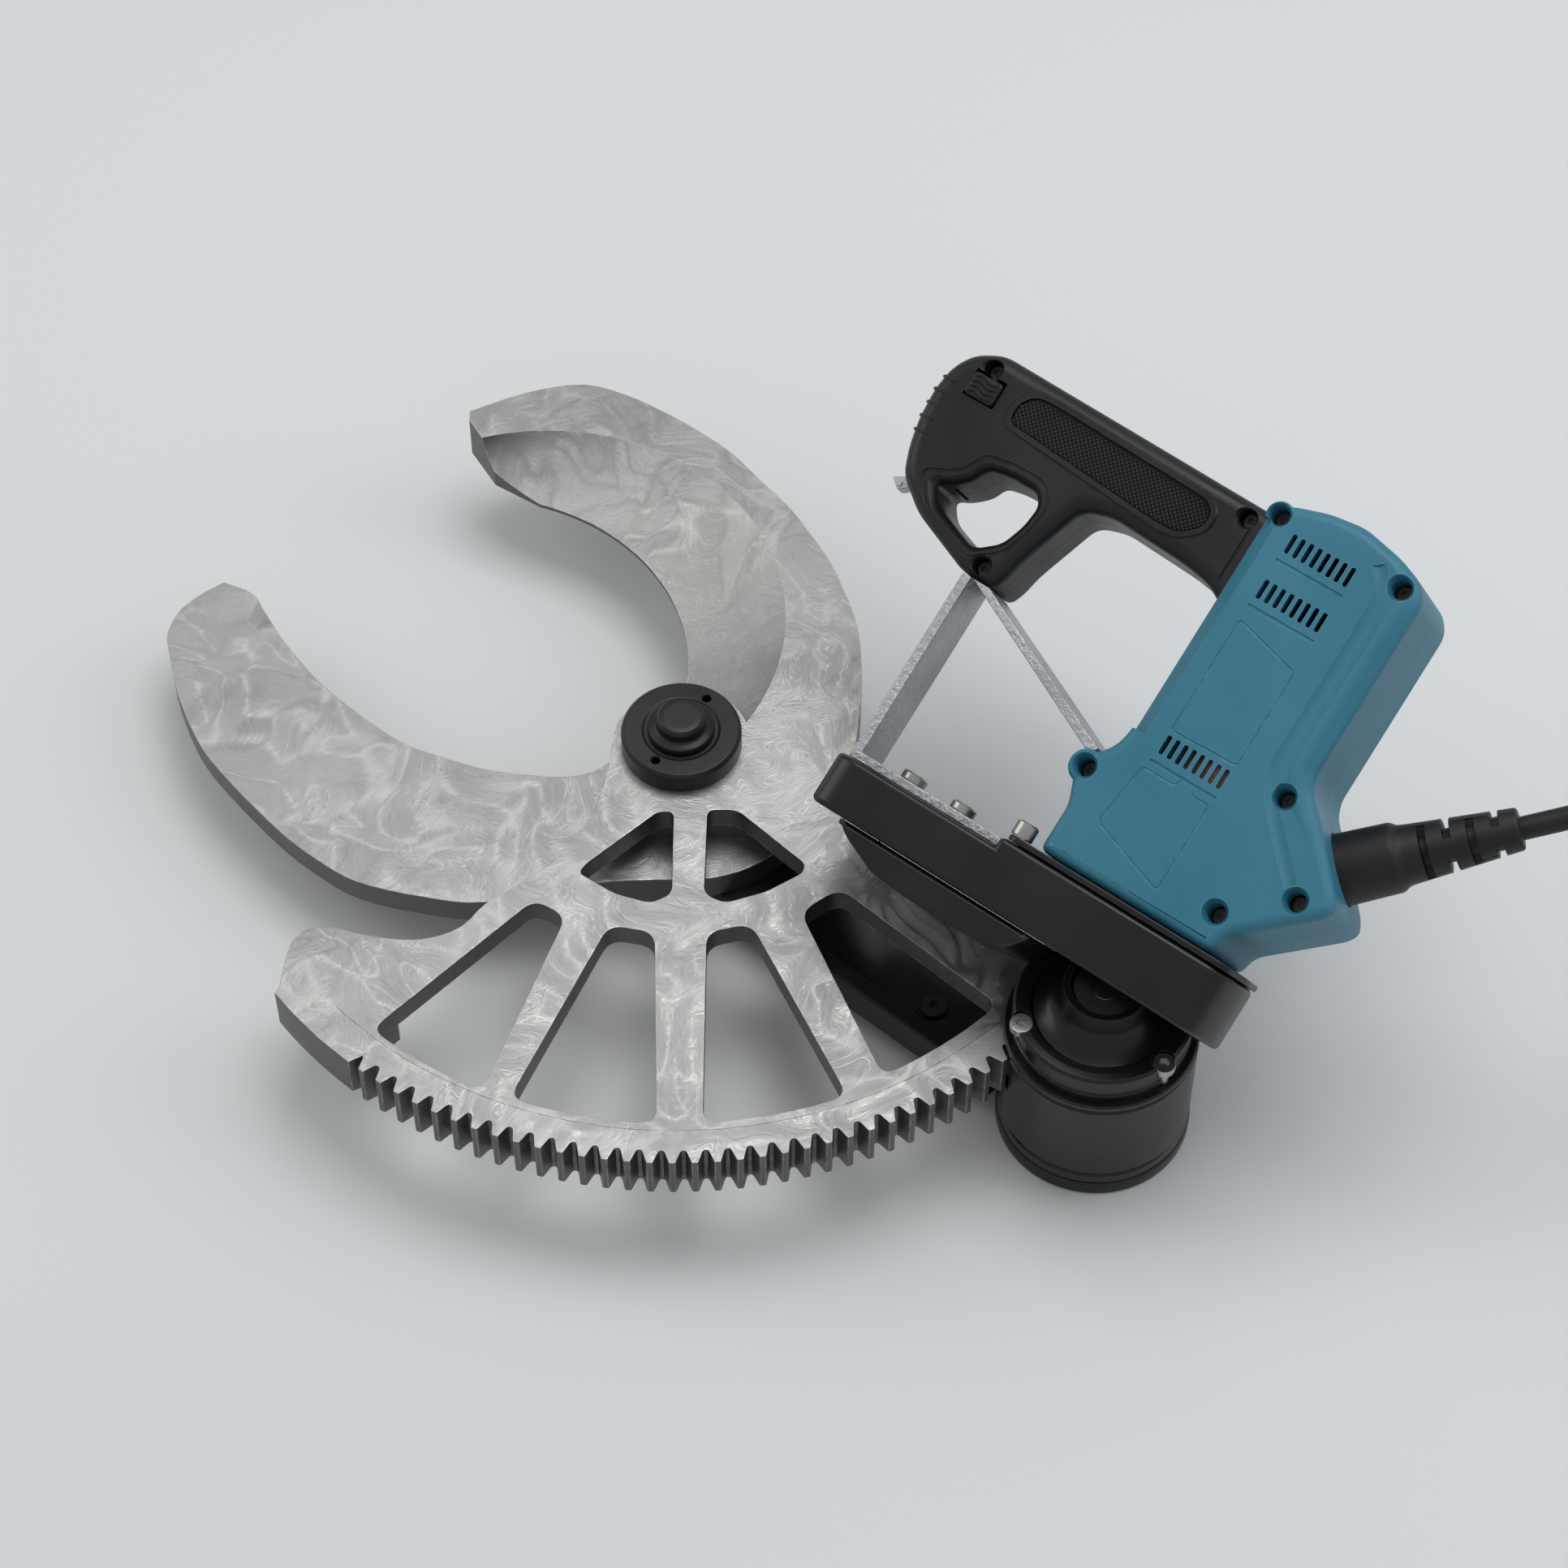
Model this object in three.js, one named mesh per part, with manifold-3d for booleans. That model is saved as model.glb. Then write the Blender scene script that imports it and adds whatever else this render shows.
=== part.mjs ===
// Electric geared cutter: two curved jaws on one pivot, closed by a pinion in a drum that drives a
// toothed sector. The motor, gear case and pistol handle stand on the drum, tilted up from the blades.
// Millimetres, +Z up. Origin on the pivot axis, at the flat foot under it.
import * as THREE from 'three';
import { mergeVertices } from 'three/addons/utils/BufferGeometryUtils.js';
import Module from 'manifold-3d';

const wasm = await Module();
wasm.setup();

// driving dimensions
const gearModule = 3;
const sectorTeeth = 144;
const pinionTeeth = 14;
const gap = 0.3; // between touching pieces
const backlash = 0.3;
const sectorPitch = (gearModule * sectorTeeth) / 2;
const pinionPitch = (gearModule * pinionTeeth) / 2;
const centreDistance = sectorPitch + pinionPitch;
const addendum = 2.4;
const dedendum = 3.75;
const sectorTip = sectorPitch + addendum;
const sectorRoot = sectorPitch - dedendum;
const drumAngle = -40.2; // direction of the drum seen from the pivot, degrees

const z = { // heights of the layers
  armLow: 8, armHigh: 26.4, fixedLow: 26.7, fixedHigh: 40.7, movingLow: 41, webLow: 53, movingHigh: 65,
  capHigh: 75.3, drumHigh: 70, drumCapHigh: 85,
};
const pivot = {
  foot: 30, hub: 33, cap: 27, bolt: 10, boltLow: 8, bushInner: 10.3, bushOuter: 14, bore: 14.08,
};
const drum = { radius: 42, cavity: 27, cap: 38.5, base: 42.5, baseHeight: 8 };
const caseBox = { left: -60, right: 142, low: -70, thick: 29, thin: 24, step: 24 };
const motor = { u: 85.7, w: -34, bottom: 32.3, depthLow: -68, depthHigh: -2, parting: -35 };
const handle = { high: -15, low: -55, parting: -35 };
const tilt = 30; // motor axis above the blade plane, degrees
const heading = -37.68; // long side of the gear case, degrees from +X
const tiltOrigin = [102, -112.2, 130];
const cordRadius = 5;

// finishes
const finish = (color, roughness, metalness) => (
  new THREE.MeshStandardMaterial({ color, roughness, metalness }));
const steel = finish(0xa9a8a2, 0.4, 1);
const toothSteel = finish(0x8d8c87, 0.45, 1);
const blackSteel = finish(0x1b1b1d, 0.4, 0.6);
const blackPaint = finish(0x17171a, 0.35, 0.1);
const blackPlastic = finish(0x1c1c1e, 0.55, 0);
const bluePlastic = finish(0x3e809d, 0.5, 0);
const aluminium = finish(0xb4b7ba, 0.4, 1);
const brass = finish(0xb08d4a, 0.4, 1);
const copper = finish(0xa65f3a, 0.5, 1);
const rubber = finish(0x19191a, 0.7, 0);

const deg = THREE.MathUtils.degToRad;
const polar = (r, degrees) => [r * Math.cos(deg(degrees)), r * Math.sin(deg(degrees))];
const drumAt = polar(centreDistance, drumAngle);

// solids
function toSolid(geometry) {
  const bare = geometry.clone();
  for (const name of ['normal', 'uv']) bare.deleteAttribute(name);
  const merged = mergeVertices(bare, 1e-4);
  return new wasm.Manifold(new wasm.Mesh({
    numProp: 3,
    vertProperties: new Float32Array(merged.attributes.position.array),
    triVerts: new Uint32Array(merged.index.array),
  }));
}

function toGeometry(solid) {
  const mesh = solid.getMesh();
  const geometry = new THREE.BufferGeometry();
  geometry.setAttribute('position', new THREE.BufferAttribute(new Float32Array(mesh.vertProperties), 3));
  geometry.setIndex(new THREE.BufferAttribute(new Uint32Array(mesh.triVerts), 1));
  return geometry;
}

const model = new THREE.Group();
const tilted = new THREE.Group();
tilted.position.set(...tiltOrigin);
tilted.rotation.set(deg(tilt), 0, deg(heading), 'ZXY');
model.add(tilted);

function add(group, name, solid, material) {
  const mesh = new THREE.Mesh(toGeometry(solid), material);
  mesh.name = name;
  group.add(mesh);
}

// a solid of the tilted group, brought into the frame of the blades
function inBladeFrame(geometry) {
  tilted.updateMatrix();
  return toSolid(geometry.clone().applyMatrix4(tilted.matrix));
}

// outlines
function outline(points, radius = 0, steps = 3) {
  const corners = [];
  const count = points.length;
  points.forEach((point, i) => {
    const here = new THREE.Vector2(...point);
    const back = new THREE.Vector2(...points[(i + count - 1) % count]).sub(here);
    const on = new THREE.Vector2(...points[(i + 1) % count]).sub(here);
    const trim = Math.min(radius, back.length() * 0.45, on.length() * 0.45);
    if (trim === 0) {
      corners.push(here);
      return;
    }
    const start = here.clone().addScaledVector(back.normalize(), trim);
    const end = here.clone().addScaledVector(on.normalize(), trim);
    corners.push(...new THREE.QuadraticBezierCurve(start, here, end).getPoints(steps));
  });
  return new THREE.Shape(corners);
}

function prismGeometry(points, low, high, radius = 0, steps = 3) {
  const shape = outline(points, radius, steps);
  const geometry = new THREE.ExtrudeGeometry(shape, { depth: high - low, bevelEnabled: false });
  return geometry.translate(0, 0, low);
}
const prism = (...values) => toSolid(prismGeometry(...values));

// an outline with softened top and bottom edges
function softPrism(points, low, high, edge) {
  const geometry = new THREE.ExtrudeGeometry(outline(points), {
    depth: high - low - 2 * edge, bevelEnabled: true, bevelThickness: edge, bevelSize: edge,
    bevelOffset: -edge, bevelSegments: 1,
  });
  return toSolid(geometry.translate(0, 0, low + edge));
}

function rodGeometry(radius, low, high, at = [0, 0], sides = 16, topRadius = radius) {
  const geometry = new THREE.CylinderGeometry(topRadius, radius, high - low, sides);
  return geometry.rotateX(Math.PI / 2).translate(at[0], at[1], (low + high) / 2);
}
const rod = (...values) => toSolid(rodGeometry(...values));

// a rod along the motor axis, or along v through any (u, w)
function axialRodGeometry(radius, low, high, at = [motor.u, motor.w], sides = 16, topRadius = radius) {
  const geometry = new THREE.CylinderGeometry(topRadius, radius, high - low, sides);
  return geometry.translate(at[0], (low + high) / 2, at[1]);
}
const axialRod = (...values) => toSolid(axialRodGeometry(...values));

function blockGeometry(low, high) {
  const size = high.map((value, i) => value - low[i]);
  const middle = high.map((value, i) => (value + low[i]) / 2);
  return new THREE.BoxGeometry(...size).translate(...middle);
}
const block = (low, high) => toSolid(blockGeometry(low, high));

// an outline in (u, w) extruded along v
function caseGeometry(points, low, high, radius) {
  const geometry = prismGeometry(points, 0, high - low, radius, 4);
  return geometry.rotateX(Math.PI / 2).translate(0, high, 0);
}

// jaws
const cutArc = { x: -102, y: 58, radius: 104 }; // cutting edge of the moving jaw
const bevelArc = { x: -66, y: 72, radius: 112 }; // where its hollow bevel meets the top face

function sectorTooth(centre) {
  const atPitch = (gearModule * Math.PI) / 4 - backlash / 2;
  const half = (radius) => atPitch - (radius - sectorPitch) * Math.tan(deg(20));
  const turn = (radius) => THREE.MathUtils.radToDeg(half(radius) / radius);
  const flank = (radius, side) => polar(radius, centre + side * turn(radius));
  return [flank(sectorRoot, -1), flank(sectorTip, -1), flank(sectorTip, 1), flank(sectorRoot, 1)];
}

function movingOutline() {
  const pitch = 360 / sectorTeeth;
  const points = [];
  const back = [[-104, 197], [-77, 209], [-50, 214], [-29, 207], [-12, 197], [5, 185], [21, 171], [34, 155],
    [48, 138], [59, 120], [68, 103], [74, 86], [79, 69], [81, 50], [81, 30], [79, 7], [77, -20], [80, -48],
    [92, -66], [150, -106]];
  const edge = [];
  for (let angle = -2; angle <= 72; angle += 6) {
    const [x, y] = polar(cutArc.radius, angle);
    edge.push([cutArc.x + x, cutArc.y + y]);
  }
  const left = [[-171, -130], [-167, -106], [-154, -99], [-139, -103], [-121, -106], [-107, -105], [-94, -99],
    [-84, -87], [-70, -77], [-49, -58], [-38, -36], [-32, -10], [-31, 5], [-28, 14], [-21, 19], [-4, 24]];
  points.push(...edge, [-92, 171], [-104, 191]);
  points.push(...back, polar(sectorRoot, -32.6));
  // the teeth run clockwise from the drum side to the plain end block
  for (let i = 2; i >= -35; i -= 1) points.push(...sectorTooth(drumAngle + i * pitch).reverse());
  for (const angle of [-129.5, -134, -138, -142.3]) points.push(polar(sectorTip, angle));
  points.push(...left);
  return points.reverse();
}

// the open cells of the sector, in degrees and radii round the pivot
const cells = [
  { from: -130.5, to: -114, low: 106, high: 200, skew: 4 },
  { from: -110.5, to: -92.2, low: 103, high: 199, skew: 0 },
  { from: -86.6, to: -68.6, low: 103, high: 199, skew: 0 },
  { from: -63.4, to: -45.4, low: 106, high: 196, skew: -3 },
];

function cellOutline({ from, to, low, high, skew }) {
  const points = [];
  const steps = 4;
  const inset = 3.5;
  const innerFrom = from + (skew > 0 ? skew : inset);
  const innerTo = to + (skew < 0 ? skew : -inset);
  for (let i = 0; i <= steps; i += 1) points.push(polar(high, from + ((to - from) * i) / steps));
  points.push(polar(low, innerTo), polar(low, innerFrom));
  return points;
}

const hubCells = [
  [[-3, -38], [-3, -82], [-12, -87], [-28, -82], [-44, -71], [-41, -66], [-10, -38]],
  [[12, -37], [25, -37], [55, -66], [54, -71], [38, -81], [20, -87], [11, -82]],
];

function movingJaw() {
  const bevelLow = z.movingLow + 2.5;
  let jaw = prism(movingOutline(), z.movingLow, z.movingHigh);
  // the web between hub and rim is half as thick as the rest
  const webRing = rod(203, 0, z.webLow, [0, 0], 96).subtract(rod(pivot.hub, -1, z.webLow + 1, [0, 0], 32));
  const lowerHalf = block([-240, -240, -1], [240, -34, z.webLow + 1]);
  const endBlock = prism([[-240, -160], [-100, -160], [-136, -128], [-150, -90], [-240, -90]], -2, 100);
  jaw = jaw.subtract(webRing.intersect(lowerHalf).subtract(endBlock));
  for (const cell of cells) jaw = jaw.subtract(prism(cellOutline(cell), 0, 100, 7));
  for (const cell of hubCells) jaw = jaw.subtract(prism(cell, 0, 100, 4));
  // hollow bevel: a leaning cone, its lower ring on the cutting edge and its upper ring on the top face
  const height = z.movingHigh + 4 - bevelLow;
  const rise = height / (z.movingHigh - bevelLow);
  const grow = (bevelArc.radius - cutArc.radius) * rise;
  const cone = rodGeometry(cutArc.radius, 0, height, [0, 0], 72, cutArc.radius + grow);
  const lean = new THREE.Matrix4().makeShear(0, 0, 0, 0, 0, 0);
  lean.elements[8] = ((bevelArc.x - cutArc.x) * rise) / height;
  lean.elements[9] = ((bevelArc.y - cutArc.y) * rise) / height;
  cone.applyMatrix4(lean).translate(cutArc.x, cutArc.y, bevelLow);
  // the cone stops at a sloping facet near the tip
  const facet = prismGeometry([[185, z.movingHigh], [185, 90], [0, 90], [0, 30], [153, 30]], -260, 200);
  facet.rotateX(Math.PI / 2).rotateZ(Math.PI / 2);
  // it also stops short of the hub, which stays whole round the bush
  const wholeHub = rod(pivot.cap + 4, 0, 120, [0, 0], 32);
  jaw = jaw.subtract(toSolid(cone).intersect(toSolid(facet)).subtract(wholeHub));
  return jaw.subtract(rod(pivot.bore, 0, 100, [0, 0], 32));
}

function fixedJaw() {
  const inner = [[-201, 105], [-199, 100], [-187, 78], [-170, 55], [-154, 39], [-140, 27], [-126, 17],
    [-104, 8], [-89, 3], [-70, 0], [-52, -1], [-37, 4], [-22, 19], [0, 28], [30, 38]];
  const root = [[56, 20], [60, -5], [53, -30], [36, -48], [14, -57], [-12, -58], [-40, -60],
    [-86, -70]];
  const outer = [[-115, -67], [-144, -59], [-164, -46], [-182, -30], [-206, -3], [-221, 18], [-233, 46],
    [-239, 70], [-241, 80], [-239, 89], [-235, 97], [-227, 105], [-217, 112]];
  let jaw = prism([...inner, ...root, ...outer].reverse(), z.fixedLow, z.fixedHigh);
  // relief scooped in the top of the tip, bevel under the cutting edge
  const scoop = rodGeometry(32, -40, 40, [0, 0], 32).rotateX(deg(82)).rotateZ(deg(-38));
  scoop.translate(-186, 112, 68);
  const under = rodGeometry(118, z.fixedLow - 1, z.fixedHigh - 3, [-92, 122], 64, 106);
  jaw = jaw.subtract(toSolid(scoop)).subtract(toSolid(under));
  jaw = jaw.subtract(rod(pivot.bushOuter + gap, 0, 100, [0, 0], 32));
  for (const at of jawBolts) jaw = jaw.subtract(rod(4.6, 0, z.fixedHigh - 3, at, 16));
  return jaw;
}
const jawBolts = [[-38, -38], [30, -30]];

// frame under the blades
function alongArm(s, side) {
  const [cx, cy] = polar(1, drumAngle);
  return [s * cx - side * cy, s * cy + side * cx];
}

function frameArm() {
  const width = 32;
  const side = [alongArm(-18, width), alongArm(-34, 14), alongArm(-34, -14), alongArm(-18, -width)];
  const far = centreDistance - drum.radius + 6;
  const body = prism([...side, alongArm(far, -width), alongArm(far, width)], z.armLow, z.armHigh, 8);
  const lobe = prism([[-30, -12], [-62, -34], [-50, -56], [-20, -40]], z.armLow, z.armHigh, 6);
  let arm = body.add(lobe).add(rod(pivot.foot, 0, z.armHigh, [0, 0], 28));
  const recess = [alongArm(76, 22), alongArm(76, -24), alongArm(166, -24), alongArm(176, 22)];
  arm = arm.subtract(prism(recess, z.armHigh - 12, 60, 8));
  arm = arm.add(rod(7.6, z.armHigh - 13, z.armHigh - 3, armScrewAt, 20));
  arm = arm.subtract(rod(3.3, -1, 60, armScrewAt, 12));
  arm = arm.subtract(rod(pivot.bushInner, pivot.boltLow - gap, 60, [0, 0], 28)); // blind, the foot stays whole
  for (const at of jawBolts) {
    arm = arm.subtract(rod(4.6, -1, 60, at, 16)).subtract(rod(7.6, -1, 17, at, 20));
  }
  return arm.subtract(rod(drum.radius + gap, -1, 60, drumAt, 40));
}
const armScrewAt = alongArm(160, -16);

function socketScrew(at, head, seat, headHeight, shank, length, up = 1) {
  const top = up > 0 ? [seat, seat + headHeight] : [seat - headHeight, seat];
  const stem = up > 0 ? [seat - length, seat + 0.1] : [seat - 0.1, seat + length];
  const socket = up > 0 ? [top[1] - headHeight / 2, top[1] + 1] : [top[0] - 1, top[0] + headHeight / 2];
  const screw = rod(head, ...top, at, 12).add(rod(shank, ...stem, at, 8));
  return screw.subtract(rod(head * 0.5, ...socket, at, 6));
}

function pivotPieces() {
  const disc = rod(pivot.cap, z.movingHigh + gap, z.capHigh - 1.5, [0, 0], 32);
  const top = rod(pivot.cap, z.capHigh - 1.5, z.capHigh, [0, 0], 32, pivot.cap - 1.5);
  let cap = disc.add(top).subtract(rod(pivot.bushInner, 0, 100, [0, 0], 28));
  for (const degrees of [57, -123]) cap = cap.subtract(rod(2, z.capHigh - 6, 100, polar(20.5, degrees), 12));
  add(model, 'pivot_cap', cap, blackSteel);

  const headLow = z.capHigh + gap;
  let bolt = rod(15, headLow, headLow + 6, [0, 0], 6).add(rod(11, headLow + 5.9, headLow + 10, [0, 0], 32));
  bolt = bolt.add(rod(pivot.bolt, pivot.boltLow, headLow + 0.1, [0, 0], 28));
  add(model, 'pivot_bolt', bolt, blackSteel);
  const bush = rod(pivot.bushOuter, z.armHigh + gap, z.movingHigh, [0, 0], 32);
  add(model, 'pivot_bush', bush.subtract(rod(pivot.bushInner, 0, 100, [0, 0], 28)), brass);
  jawBolts.forEach((at, i) => {
    add(model, `jaw_bolt_${i + 1}`, socketScrew(at, 7, 16.7, 8, 4.2, 19.5, -1), blackSteel);
  });
  add(model, 'arm_screw', socketScrew(armScrewAt, 5.5, z.armHigh - 2.7, 3, 2.9, 14), blackSteel);
}

// drum
const slabPoints = [
  [caseBox.left, 0], [caseBox.right - 6, 0], [caseBox.right, -22], [caseBox.right - 2, -50],
  [caseBox.right - 22, caseBox.low], [caseBox.left + 10, caseBox.low], [caseBox.left, caseBox.low + 14],
];

const frontPoints = [[-44, -gap], [-36, -6], [-19, -13], [0, -14.5], [26, -14.5], [50, -10], [58, -gap]];

function drumPieces() {
  const swept = rod(sectorTip + 1.5, z.movingLow - 0.6, z.movingHigh + 0.6, [0, 0], 120);
  const behindFront = inBladeFrame(blockGeometry([-70, -gap, -200], [caseBox.right + 8, 60, 20]));
  const frontRoom = inBladeFrame(blockGeometry([-70, -gap, caseBox.low - gap], [caseBox.right + 8, 40, 20]));
  let housing = rod(drum.radius, drum.baseHeight + gap, z.drumHigh, drumAt, 40);
  housing = housing.subtract(swept);
  housing = housing.subtract(rod(drum.cavity, 30, z.movingHigh + 1, drumAt, 40));
  housing = housing.subtract(rod(13.3, 14, 60, drumAt, 16)).subtract(rod(13.3, 50, 80, drumAt, 16));
  housing = housing.subtract(rod(7, 0, 20, drumAt, 16)).subtract(frontRoom);
  add(model, 'gear_housing', housing, blackPaint);

  let cap = rod(drum.cap, z.drumHigh + gap, z.drumCapHigh, drumAt, 40);
  const dishRadius = 240;
  const dishHigh = z.drumCapHigh + dishRadius - 2.4;
  const dish = new THREE.SphereGeometry(dishRadius, 48, 96).translate(...drumAt, dishHigh);
  const crown = rod(17.5, z.drumCapHigh - 6, 101, drumAt, 16);
  cap = cap.subtract(toSolid(dish)).add(crown);
  cap = cap.subtract(rod(13.3, 60, z.drumCapHigh - 4, drumAt, 16));
  cap = cap.subtract(rod(15, 84, 102, drumAt, 16));
  cap = cap.subtract(rod(7, 60, 90, drumAt, 16));
  for (const at of capScrews) {
    cap = cap.subtract(rod(3.1, 60, 100, at, 12)).subtract(rod(5.4, 79.7, 100, at, 20));
  }
  const frontRoomPoints = frontPoints.map(([u, v]) => (
    v === -gap ? [u + Math.sign(u) * 2, 1] : [u + Math.sign(u) * gap, v - 1.5 * gap]));
  cap = cap.subtract(behindFront).subtract(inBladeFrame(prismGeometry(frontRoomPoints, -59, 0)));
  add(model, 'housing_cap', cap, blackPaint);
  capScrews.forEach((at, i) => {
    add(model, `cap_screw_${i + 1}`, socketScrew(at, 5, 80, 4, 2.8, 9), steel);
  });

  const ring = rod(drum.base, 0, drum.baseHeight, drumAt, 40);
  add(model, 'base_cover', ring.subtract(rod(9, drum.baseHeight - 3, 20, drumAt, 16)), blackPaint);
}
const capScrews = [[146, -161], [205, -181]];

function pinionOutline() {
  const base = pinionPitch * Math.cos(deg(20));
  const inv = (angle) => Math.tan(angle) - angle;
  const halfPitch = ((gearModule * Math.PI) / 4 - backlash / 2) / pinionPitch;
  const half = (radius) => halfPitch + inv(deg(20)) - inv(Math.acos(Math.min(1, base / radius)));
  const radii = [pinionPitch - dedendum, base, 21.2, pinionPitch + addendum];
  const points = [];
  for (let i = 0; i < pinionTeeth; i += 1) {
    const centre = deg(drumAngle + 180) + ((i + 0.5) * 2 * Math.PI) / pinionTeeth;
    for (const r of radii) {
      const angle = centre - half(Math.max(r, base));
      points.push([drumAt[0] + r * Math.cos(angle), drumAt[1] + r * Math.sin(angle)]);
    }
    for (const r of [...radii].reverse()) {
      const angle = centre + half(Math.max(r, base));
      points.push([drumAt[0] + r * Math.cos(angle), drumAt[1] + r * Math.sin(angle)]);
    }
  }
  return points;
}

// a running fit: the flats of the hole stay outside the shaft at this number of sides
const shaftFit = { shaft: 6, hole: 6.08, sides: 24 };

function drivePieces() {
  const shaft = rod(shaftFit.shaft, 9, 98, drumAt, shaftFit.sides);
  add(model, 'drive_pinion', prism(pinionOutline(), z.movingLow - 0.2, z.movingHigh).add(shaft), toothSteel);
  for (const [name, low, high] of [['lower_bearing', 14.6, 24], ['upper_bearing', 70.6, 80]]) {
    const hole = rod(shaftFit.hole, low - 1, high + 1, drumAt, shaftFit.sides);
    const race = rod(13, low, high, drumAt, 16).subtract(hole);
    add(model, name, race, steel);
  }
  const crown = rod(13.5, 91, 98.4, drumAt, 32);
  add(model, 'crown_gear', crown.subtract(rod(6 + gap, 80, 110, drumAt, 16)), toothSteel);

  // cone pinion on the motor's axis, its lowest line level with the crown gear's face; its shaft carries
  // the disc that the planet gears of the reduction unit would turn on
  const cone = axialRod(3.6, 7, 12, [motor.u, motor.w], 24, 6.4).add(axialRod(4, 11.9, 17, undefined, 16));
  add(tilted, 'bevel_pinion', cone.add(axialRod(21, unit.low + 1.6, unit.low + 5.7)), toothSteel);
  const room = axialRod(unit.radius - 3, unit.low + 1.3, unit.high - 1.4, undefined, 28);
  const shafts = axialRod(4.4, unit.low - 1, unit.high + 1);
  const can = axialRod(unit.radius, unit.low, unit.high, undefined, 28).subtract(room).subtract(shafts);
  add(tilted, 'reduction_unit', can, steel);
}
const unit = { radius: 25, low: 15.3, high: 26 };

// gear case
function casePieces() {
  let slab = toSolid(caseGeometry(slabPoints, 0, caseBox.thick, 16));
  slab = slab.subtract(block([caseBox.left + 1.4, caseBox.thin, -80], [caseBox.step, 60, 10]));
  slab = slab.subtract(axialRod(27, 3, 40, undefined, 28));
  slab = slab.subtract(block([-48, 3, -62], [44, 20, -8])).subtract(block([40, 4, -50], [62, 19, -20]));
  // clear of the drum cap's crown boss
  const boss = rodGeometry(18, 60, 104, drumAt, 16);
  tilted.updateMatrix();
  boss.applyMatrix4(tilted.matrix.clone().invert());
  slab = slab.subtract(toSolid(boss));
  for (const u of braceBolts) slab = slab.subtract(axialRod(3.3, 8, 60, [u, -30], 12));
  add(tilted, 'gear_case', slab, blackPaint);

  add(tilted, 'gear_case_front', softPrism(frontPoints, -58, -4, 2), blackPaint);

  const flangeLeft = caseBox.step + 2;
  const flange = [[flangeLeft, 0], ...slabPoints.slice(1, 5), [flangeLeft, caseBox.low]];
  const plate = toSolid(caseGeometry(flange, caseBox.thick + gap, motor.bottom - gap, 3));
  add(tilted, 'gear_case_flange', plate.subtract(axialRod(25.5, 0, 60, undefined, 28)), blackPaint);

  const boltRoom = [31, -4];
  const head = axialRod(5, motor.bottom, motor.bottom + 7, boltRoom, 20);
  add(tilted, 'case_bolt', head.subtract(axialRod(2.4, motor.bottom + 3, 60, boltRoom, 6)), steel);
}
const braceBolts = [-32, -6];

// motor body
const bodyOutline = [[126, 32.3], [40, 32.3], [40, 55], [37, 62], [34, 69], [36, 76], [44, 86],
  [46, 94], [46, 203], [54, 209], [70, 214], [86, 216], [106, 212], [119, 207], [124, 200],
  [124, 117], [127, 110],
  [135, 103], [158, 79], [161, 73], [158, 68], [128, 42]];
const screwHoles = [[52, 203], [113, 201], [38, 72], [118, 103], [119, 48], [145, 69]];

function motorPieces() {
  const shell = softPrism(bodyOutline, motor.depthLow, motor.depthHigh, 5);
  let hollow = axialRod(31, 20, 206, undefined, 28);
  hollow = hollow.add(prism([[100, 50], [124, 50], [150, 72], [134, 92], [110, 100]], -56, -14, 6));
  let body = shell.subtract(hollow);
  body = body.subtract(toSolid(gland(0.4))).subtract(toSolid(rodGeometry(5.3, 20, 40, [31, -4])));
  for (const { u, v } of ventRows) body = body.subtract(block([u, v, -16], [u + 32.4, v + 9, 0]));
  for (const at of screwHoles) {
    body = body.subtract(rod(2, -60, 0, at, 8)).subtract(rod(4.2, -18, 5, at, 12));
  }
  body = body.subtract(axialRod(6.2, 20, 60, [31, -4], 20));
  const upper = body.subtract(block([-50, 0, -100], [250, 260, motor.parting + gap / 2]));
  const lower = body.subtract(block([-50, 0, motor.parting - gap / 2], [250, 260, 20]));
  add(tilted, 'motor_shell_upper', upper, bluePlastic);
  add(tilted, 'motor_shell_lower', lower, bluePlastic);
  screwHoles.forEach((at, i) => {
    add(tilted, `housing_screw_${i + 1}`, socketScrew(at, 3.8, -17.7, 3, 1.7, 26), steel);
  });

  const stator = axialRod(30, 74, 126, undefined, 16).subtract(axialRod(21.5, 70, 130, undefined, 16));
  add(tilted, 'stator', stator, copper);
  let armature = axialRod(3.9, unit.low + 6.7, 172).add(axialRod(20.5, 76, 124));
  armature = armature.add(axialRod(12, 138, 152, undefined, 24));
  add(tilted, 'armature', armature, steel);
  const hub = axialRod(8, 52, 62, undefined, 16).add(axialRod(28, 52, 54, undefined, 16));
  let fan = hub;
  for (let i = 0; i < 9; i += 1) {
    const blade = blockGeometry([7, 53, -0.8], [27, 61, 0.8]).rotateY((i * 2 * Math.PI) / 9);
    fan = fan.add(toSolid(blade.translate(motor.u, 0, motor.w)));
  }
  add(tilted, 'cooling_fan', fan.subtract(axialRod(4.2, 40, 70, undefined, 16)), blackPlastic);
  const bearing = axialRod(11, 160, 168, undefined, 24).subtract(axialRod(3.98, 150, 180, undefined, 16));
  add(tilted, 'rear_bearing', bearing, steel);
  [1, -1].forEach((side, i) => {
    const middle = motor.u + side * 20.3;
    const half = 7.7;
    const brush = block([middle - half, 141, motor.w - 4], [middle + half, 149, motor.w + 4]);
    add(tilted, `carbon_brush_${i + 1}`, brush, brass);
  });
}
const ventRows = [{ u: 60, v: 190 }, { u: 60, v: 168 }, { u: 60, v: 92 }];

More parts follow.
